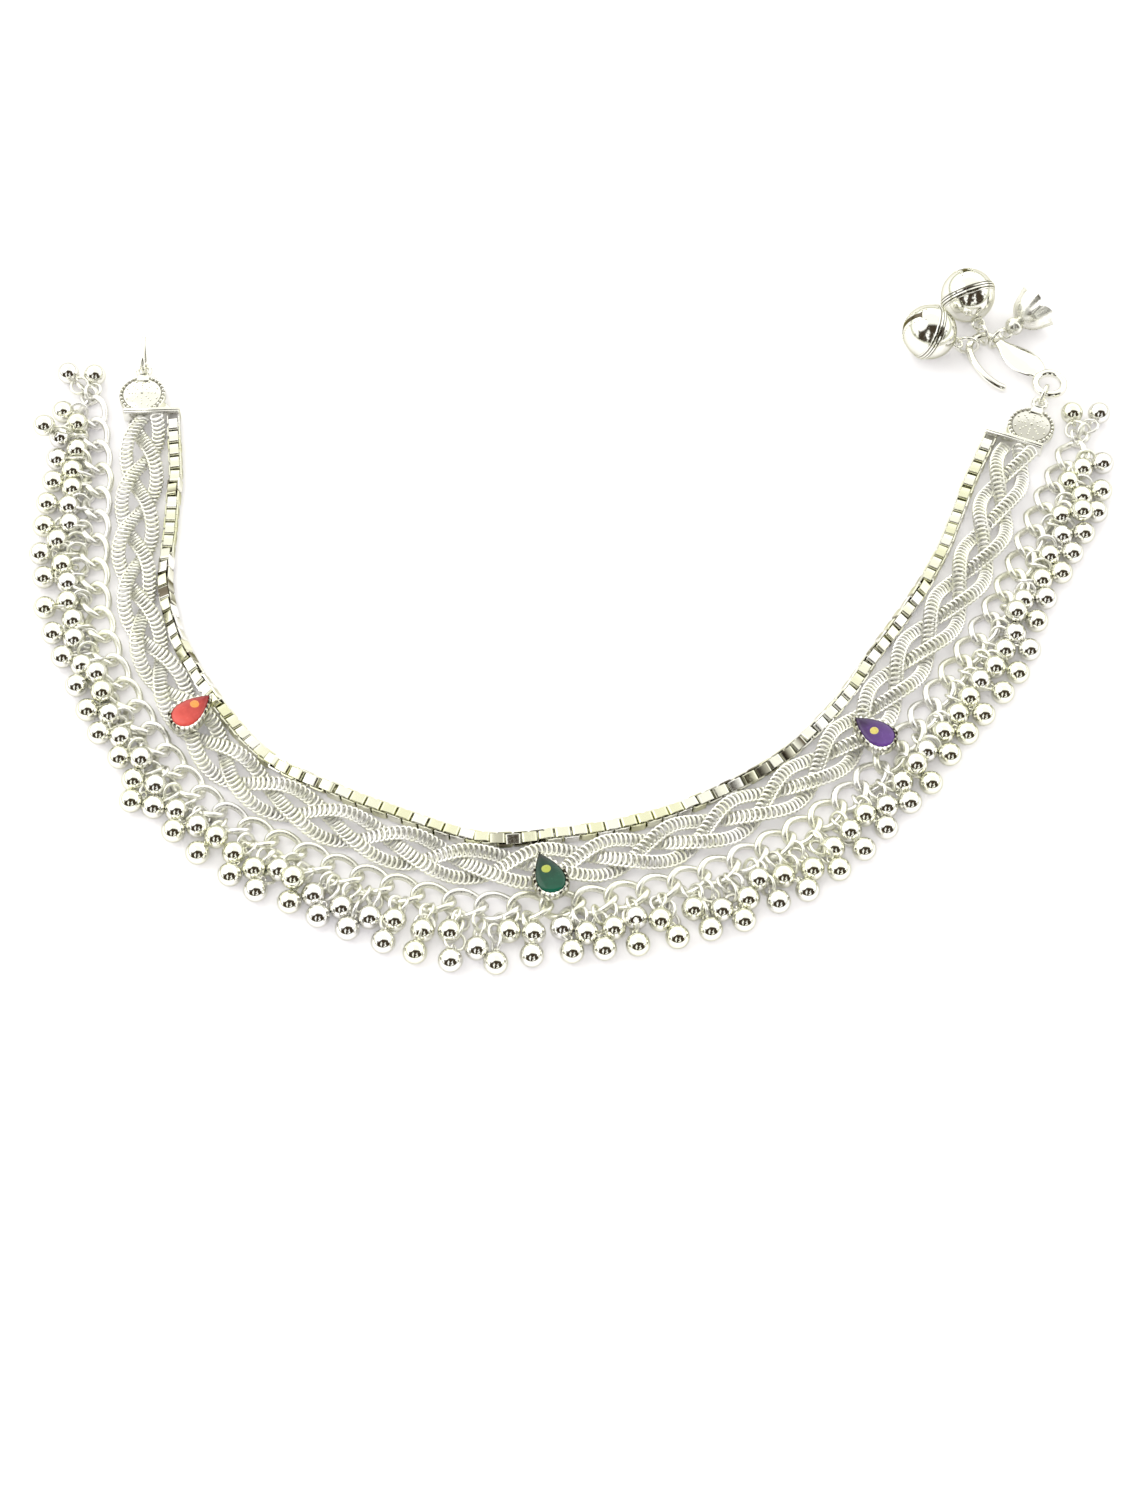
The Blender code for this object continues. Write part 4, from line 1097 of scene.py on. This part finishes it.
def hook_eye_centre():
    heading = np.array([cos(HOOK_HEADING), sin(HOOK_HEADING), 0.0])
    return lug_hole("right") + heading * (ring_span(HOOK_WIRE) + HOOK_EYE_RADIUS)


def build_jump_ring(name, from_hole, to_wire, finish):
    """An upright ring through a hole, whose far side passes round a wire."""
    way = unit((to_wire - from_hole) * np.array([1, 1, 0]))
    centre = from_hole + way * RING_RADIUS
    centre[2] = ring_height()
    joined = Joined()
    joined.add(round_ring(RING_RADIUS, RING_WIRE, 40, 12), centre, (way, UP, np.cross(way, UP)))
    joined.make(f"{name}_fine", [finish], [name])


def build_hook(eye_centre, finish):
    """The bent wire with its hammered leaf, and the eye."""
    route = smooth(HOOK_ROUTE, 8)
    places = route[:, :3] + eye_centre * np.array([1, 1, 0])
    rings = []
    last = len(places) - 1
    for k, place in enumerate(places):
        tangent = unit(places[min(k + 1, last)] - places[max(k - 1, 0)])
        across = level_across(tangent)
        leaf = min(max(route[k, 3], 0.0), 1.0)
        half_width = (HOOK_WIRE + (HOOK_LEAF_WIDTH - HOOK_WIRE) * leaf) / 2
        half_height = (HOOK_WIRE + (HOOK_LEAF_THICKNESS - HOOK_WIRE) * min(1, leaf * 2)) / 2
        from_tip = min(k, HOOK_TIP) / HOOK_TIP
        taper = HOOK_TIP_SHARE + (1 - HOOK_TIP_SHARE) * (1 - (1 - from_tip) ** 2) ** 0.5
        sizes = half_width * taper, half_height * taper
        rings.append(oval(place, across, np.cross(tangent, across), *sizes, HOOK_SIDES))
    joined = Joined()
    joined.add(skin(rings, closed=False))
    joined.add(round_ring(HOOK_EYE_RADIUS, HOOK_WIRE, 44, 16), eye_centre)
    joined.make("hook_fine", [finish], ["hook"])


def on_hook(eye_centre, place):
    """A point of the hook's centre line, at a place counted in points of its route."""
    before = int(place)
    row = np.array(HOOK_ROUTE[before][:3])
    following = np.array(HOOK_ROUTE[min(before + 1, len(HOOK_ROUTE) - 1)][:3])
    return eye_centre * np.array([1, 1, 0]) + (row + (following - row) * (place - before))


def drop_axes(way, droop):
    """A drop's axes: Z towards its bail, X level, Y up."""
    axis = np.array([way[0] * cos(droop), way[1] * cos(droop), -sin(droop)])
    level = unit(np.cross(axis, UP))
    return level, np.cross(axis, level), axis


def add_bail(joined, centre, axes):
    joined.add(round_ring(BAIL_RADIUS, BAIL_WIRE, 24, 10), centre, (axes[2], axes[0], axes[1]))


def bell_body(radius):
    """Two thin cups with a double rim where they meet, and the painted shade of each point in the rim's
    creases.
    """
    rim = [((radius ** 2 - height ** 2) ** 0.5 + out, height) for height, out, _ in BELL_RIM]
    arc = [radians(a) for a in range(14, 90, 6)]
    cup = rim + [(radius * cos(a), radius * sin(a)) for a in arc] + [(0, radius)]
    body = turned([(across, -along) for across, along in reversed(cup)] + cup, 56)
    dark = {round(height, 7): groove_shade for height, _, groove_shade in BELL_RIM}
    return body, np.array([dark.get(round(abs(point[2]), 7), 0.0) for point in body[0]])


def slit_shade_strip(radius):
    """The slit as a strip of painted shade, set a hair over the lower cup, with two round ends."""
    rings = []
    for k in range(SLIT_SECTIONS):
        angle = radians(-90 + (k - SLIT_SECTIONS // 2) * SLIT_STEP)
        across = np.array([SLIT_HALF_WIDTH if 0 < k < SLIT_SECTIONS - 1 else SLIT_END_HALF_WIDTH, 0, 0])
        out = np.array([0, cos(angle), sin(angle)])
        outer, inner = out * (radius + SLIT_PROUD), out * (radius - SLIT_DEPTH)
        rings.append(np.array([outer + across, outer - across, inner - across, inner + across]))
    return skin(rings, closed=False)


def build_bell(name, bail_centre, way, finish):
    """A round bell with a double rim, a slit between beaded bands, and its bail."""
    radius = BELL_DIAMETER / 2
    axes = drop_axes(way, BELL_DROOP)
    to_bail = radius + BAIL_RADIUS - BAIL_WIRE / 2
    centre = bail_centre - axes[2] * to_bail
    centre[2] = radius + BELL_LIFT
    joined = Joined()
    body, rim_shade = bell_body(radius)
    joined.add(body, centre, axes, depth=rim_shade)
    # The slit strip is fully dark: painted shade where the bell's inside shows
    joined.add(slit_shade_strip(radius), centre, axes, depth=1.0)
    bead = ball(BAND_BEAD_RADIUS, 8, 5)
    around = (radius ** 2 - BAND_ASIDE ** 2) ** 0.5
    for across in (-BAND_ASIDE, BAND_ASIDE):
        for k in range(BAND_BEADS):
            angle = radians(-90 + (k - BAND_BEADS // 2) * BAND_STEP)
            place = np.array([across, around * cos(angle), around * sin(angle)])
            joined.add(bead, centre + place @ np.array(axes), tone=0.8)
    add_bail(joined, centre + axes[2] * to_bail, axes)
    collar = [(across, radius + height) for across, height in BELL_COLLAR]
    joined.add(turned(collar, 24), centre, axes)
    joined.make(f"{name}_fine", [finish], [name])


def build_flower_cap(bail_centre, way, finish):
    """A bulb that opens into a ribbed cup with pointed petals, and its bail."""
    axes = drop_axes(way, CAP_DROOP)
    top = bail_centre - axes[2] * (BAIL_RADIUS - BAIL_WIRE / 2)
    rings = []
    for radius, height in (*smooth(CAP_OUTSIDE, 3), *smooth(CAP_INSIDE, 3)):
        flare = min(max((-height - PETALS_FROM) / PETALS_LENGTH, 0.0), 1.0)
        ring = []
        for turn in full_turn(CAP_PETALS * 10):
            petal = abs((turn / (2 * pi) * CAP_PETALS) % 1 - 0.5) * 2
            ridge = 1 + PETAL_RIDGE * flare * cos(turn * CAP_PETALS * 2)
            shorter = (PETAL_CURVE * petal ** 3 + PETAL_SLANT * petal) * flare ** 1.5
            tucked = radius * ridge * (1 - PETAL_TUCK * petal * flare ** 2)
            ring.append([tucked * cos(turn), tucked * sin(turn), height + shorter])
        rings.append(np.array(ring))
    joined = Joined()
    joined.add(skin(rings, closed=False), top, axes)
    joined.add(ball(CAP_BULB_RADIUS, 20, 10), top - axes[2] * CAP_BULB_DROP, axes)
    add_bail(joined, bail_centre, axes)
    joined.make("flower_cap_fine", [finish], ["flower_cap"])


def build_ends(finish, satin):
    build_end_plate("left", finish)
    build_end_plate("right", finish)
    build_catch_eye(finish)
    eye_centre = hook_eye_centre()
    build_hook(eye_centre, finish)
    build_jump_ring("end_ring", lug_hole("right"), eye_centre, finish)
    for name, place, towards in DROPS:
        held = on_hook(eye_centre, place)
        held[2] = ring_height()
        heading = unit(np.array([*towards, 0.0]))
        bail = held - heading * ring_span(HOOK_WIRE)
        build_jump_ring(f"ring_of_{name}", bail, held, finish)
        if name == "flower_cap":
            build_flower_cap(bail, heading, satin)
        else:
            build_bell(name, bail, heading, finish)


# Stones


def build_setting(name, seat, axes, finish):
    """The serrated setting: every other point of its rim is notched and darkened with painted shade."""
    rows, notch_shade = [], []
    for inset, share, tooth, darkening in SETTING_ROWS:
        trim = 2 * inset
        outline = stone_outline(SETTING_LENGTH - trim, SETTING_WIDTH - trim, SETTING_TEETH * 2)
        rows.append(np.array([[x, y, SETTING_HEIGHT * share - tooth * (k % 2)]
                              for k, (x, y) in enumerate(outline)]))
        notch_shade += [darkening * (k % 2) for k in range(len(outline))]
    setting = Joined()
    setting.add(skin(rows, closed=False), seat, axes, depth=np.array(notch_shade))
    setting.make(f"serrated_setting_{name}", [finish], [f"setting_{name}"], sharp=SETTING_SHARP)


def build_stone(name, distance, aside, turn, dot, finish):
    """The enamel drop with its dot, in its setting."""
    along = BAND.along(distance)
    tip_way = along * cos(radians(turn)) + np.cross(UP, along) * sin(radians(turn))
    axes = (tip_way, np.cross(UP, tip_way), UP)
    seat = BAND.at(distance, aside, SETTING_SEAT)
    build_setting(name, seat, axes, finish)
    trim = 2 * (SETTING_WALL + STONE_TRIM)
    length, width = SETTING_LENGTH - trim, SETTING_WIDTH - trim
    outline = stone_outline(length, width, 60)
    drop = skin([np.array([[x * share, y * share, height] for x, y in outline])
                 for share, height in STONE_ROWS], closed=False)
    base = seat + UP * (SETTING_FLOOR + STONE_GAP)
    stone = Joined()
    stone.add(drop, base, axes, tone=0.5 - drop[0][:, 0] / length)
    spot = tip_way * dot[0] * length + axes[1] * dot[1] * width + UP * DOT_HEIGHT
    dot_shape = turned([(across * DOT_RADIUS, height) for across, height in DOT_ROWS], 24)
    stone.add(dot_shape, base + spot, axes, finish=1)
    tip, round_end, colour, shade = ENAMEL[name]
    finishes = [enamel(f"enamel_{name}", tip, round_end), paint(f"dot_{name}", colour, shade)]
    stone.make(f"enamel_drop_{name}", finishes, [f"stone_{name}"], f"enamel_{name}")


# Studio

FLOOR_REACH = 3.0
VIEW_GAMMA = 1.2
# Lights: name, place, size, power, colour, and whether metal mirrors it
LIGHTS = (
    ("soft_key", (-0.45, 0.0, 0.6), 0.7, 1.5, (1.0, 1.0, 0.97), True),
    ("front_fill", (0.0, -0.6, 0.5), 1.0, 5.0, (1.0, 1.0, 1.0), False),
)


def build_floor():
    mesh = bpy.data.meshes.new("floor")
    corners = [(x * FLOOR_REACH, y * FLOOR_REACH, 0) for x, y in ((-1, -1), (1, -1), (1, 1), (-1, 1))]
    mesh.from_pydata(corners, [], [(0, 1, 2, 3)])
    made, nodes, shader = new_material("pale_floor")
    shader.inputs["Specular IOR Level"].default_value = 0.1
    grain = nodes.noise(1 / (4.0 * MM), 5.0)
    nodes.link(nodes.blend(grain, FLOOR_WHITE, FLOOR_LILAC), shader.inputs["Base Color"])
    nodes.link(nodes.spread(grain, 0.85, 0.95), shader.inputs["Roughness"])
    mesh.materials.append(made)
    floor = bpy.data.objects.new("floor", mesh)
    bpy.context.scene.collection.objects.link(floor)


def dark_front(nodes, ways):
    """How dark the studio's front is: uneven strokes side by side, joined above, none at its sides."""
    height = ways.outputs["Z"]
    uneven = nodes.maths("SUBTRACT", nodes.noise(4.0, 3.0, "Generated"), 0.5)
    across = nodes.maths("ADD", ways.outputs["X"], nodes.maths("MULTIPLY", uneven, 0.9))
    wave = nodes.maths("COSINE", nodes.maths("MULTIPLY", across, 10.0))
    strokes = nodes.ramp(wave, -0.92, -0.6, 0.2, 1.0)
    above = nodes.ramp(nodes.maths("ADD", height, uneven), 0.66, 0.74, 0.0, 1.0)
    dark = nodes.maths("MAXIMUM", strokes, above)
    middle = nodes.ramp(nodes.maths("ABSOLUTE", across), 0.84, 0.96, 1.0, 0.0)
    ahead = nodes.ramp(ways.outputs["Y"], -0.22, -0.08, 1.0, 0.0)
    rises = nodes.ramp(height, 0.0, 0.08, 0.0, 1.0)
    for factor in (middle, ahead, rises):
        dark = nodes.maths("MULTIPLY", dark, factor)
    return dark


def build_world():
    """A pale studio, brightest halfway up, whose front is dark; what shows behind the part is white."""
    world = bpy.data.worlds.new("studio")
    bpy.context.scene.world = world
    nodes = Nodes(world)
    background = nodes.tree.nodes["Background"]
    ways = nodes.add("ShaderNodeSeparateXYZ")
    nodes.link(nodes.add("ShaderNodeTexCoord").outputs["Generated"], ways.inputs[0])
    height = ways.outputs["Z"]
    low = nodes.blend(nodes.ramp(height, 0.08, 0.32, 0.0, 1.0), LOW_STUDIO, MIDDLE_STUDIO)
    sky = nodes.blend(nodes.ramp(height, 0.60, 0.78, 0.0, 1.0), low, HIGH_STUDIO)
    nodes.link(nodes.blend(dark_front(nodes, ways), sky, DARK_STUDIO), background.inputs["Color"])
    plain = nodes.add("ShaderNodeBackground")
    plain.inputs["Color"].default_value = (1.0, 1.0, 1.0, 1.0)
    chosen = nodes.add("ShaderNodeMixShader")
    nodes.link(nodes.add("ShaderNodeLightPath").outputs["Is Camera Ray"], chosen.inputs["Fac"])
    nodes.link(background.outputs[0], chosen.inputs[1])
    nodes.link(plain.outputs[0], chosen.inputs[2])
    nodes.link(chosen.outputs[0], nodes.tree.nodes["World Output"].inputs["Surface"])


def add_area_light(name, place, size, power, colour, mirrored):
    """A round soft light aimed at the middle, which polished metal may mirror or not."""
    light = bpy.data.lights.new(name, "AREA")
    light.shape = "DISK"
    light.size = size
    light.energy = power
    light.color = colour
    obj = bpy.data.objects.new(name, light)
    obj.location = place
    obj.rotation_euler = Vector(place).to_track_quat("Z", "Y").to_euler()
    obj.visible_glossy = mirrored
    bpy.context.scene.collection.objects.link(obj)


def build_studio():
    build_floor()
    build_world()
    for light in LIGHTS:
        add_area_light(*light)
    scene = bpy.context.scene
    scene.view_settings.view_transform = "Standard"
    scene.view_settings.gamma = VIEW_GAMMA
    data = bpy.data.cameras.new("camera")
    data.sensor_fit = "VERTICAL"
    data.sensor_height = CAMERA_SENSOR
    data.lens = CAMERA_LENS
    data.clip_start = CAMERA_NEAR * MM
    camera = bpy.data.objects.new("camera", data)
    camera.location = Vector(CAMERA_PLACE) * MM
    camera.rotation_euler = (pi / 2 - CAMERA_TILT, 0.0, 0.0)
    scene.collection.objects.link(camera)
    scene.camera = camera


def main():
    build_studio()
    bright, satin, link, ball_gloss, box, curb = [silver(name, *SILVERS[name]) for name in SILVERS]
    build_box_chain(box)
    for number in range(STRANDS):
        build_strand(number, curb)
    build_cable_chain(link)
    build_balls(ball_gloss, link)
    build_ends(bright, satin)
    for stone in STONES:
        build_stone(*stone, bright)


main()
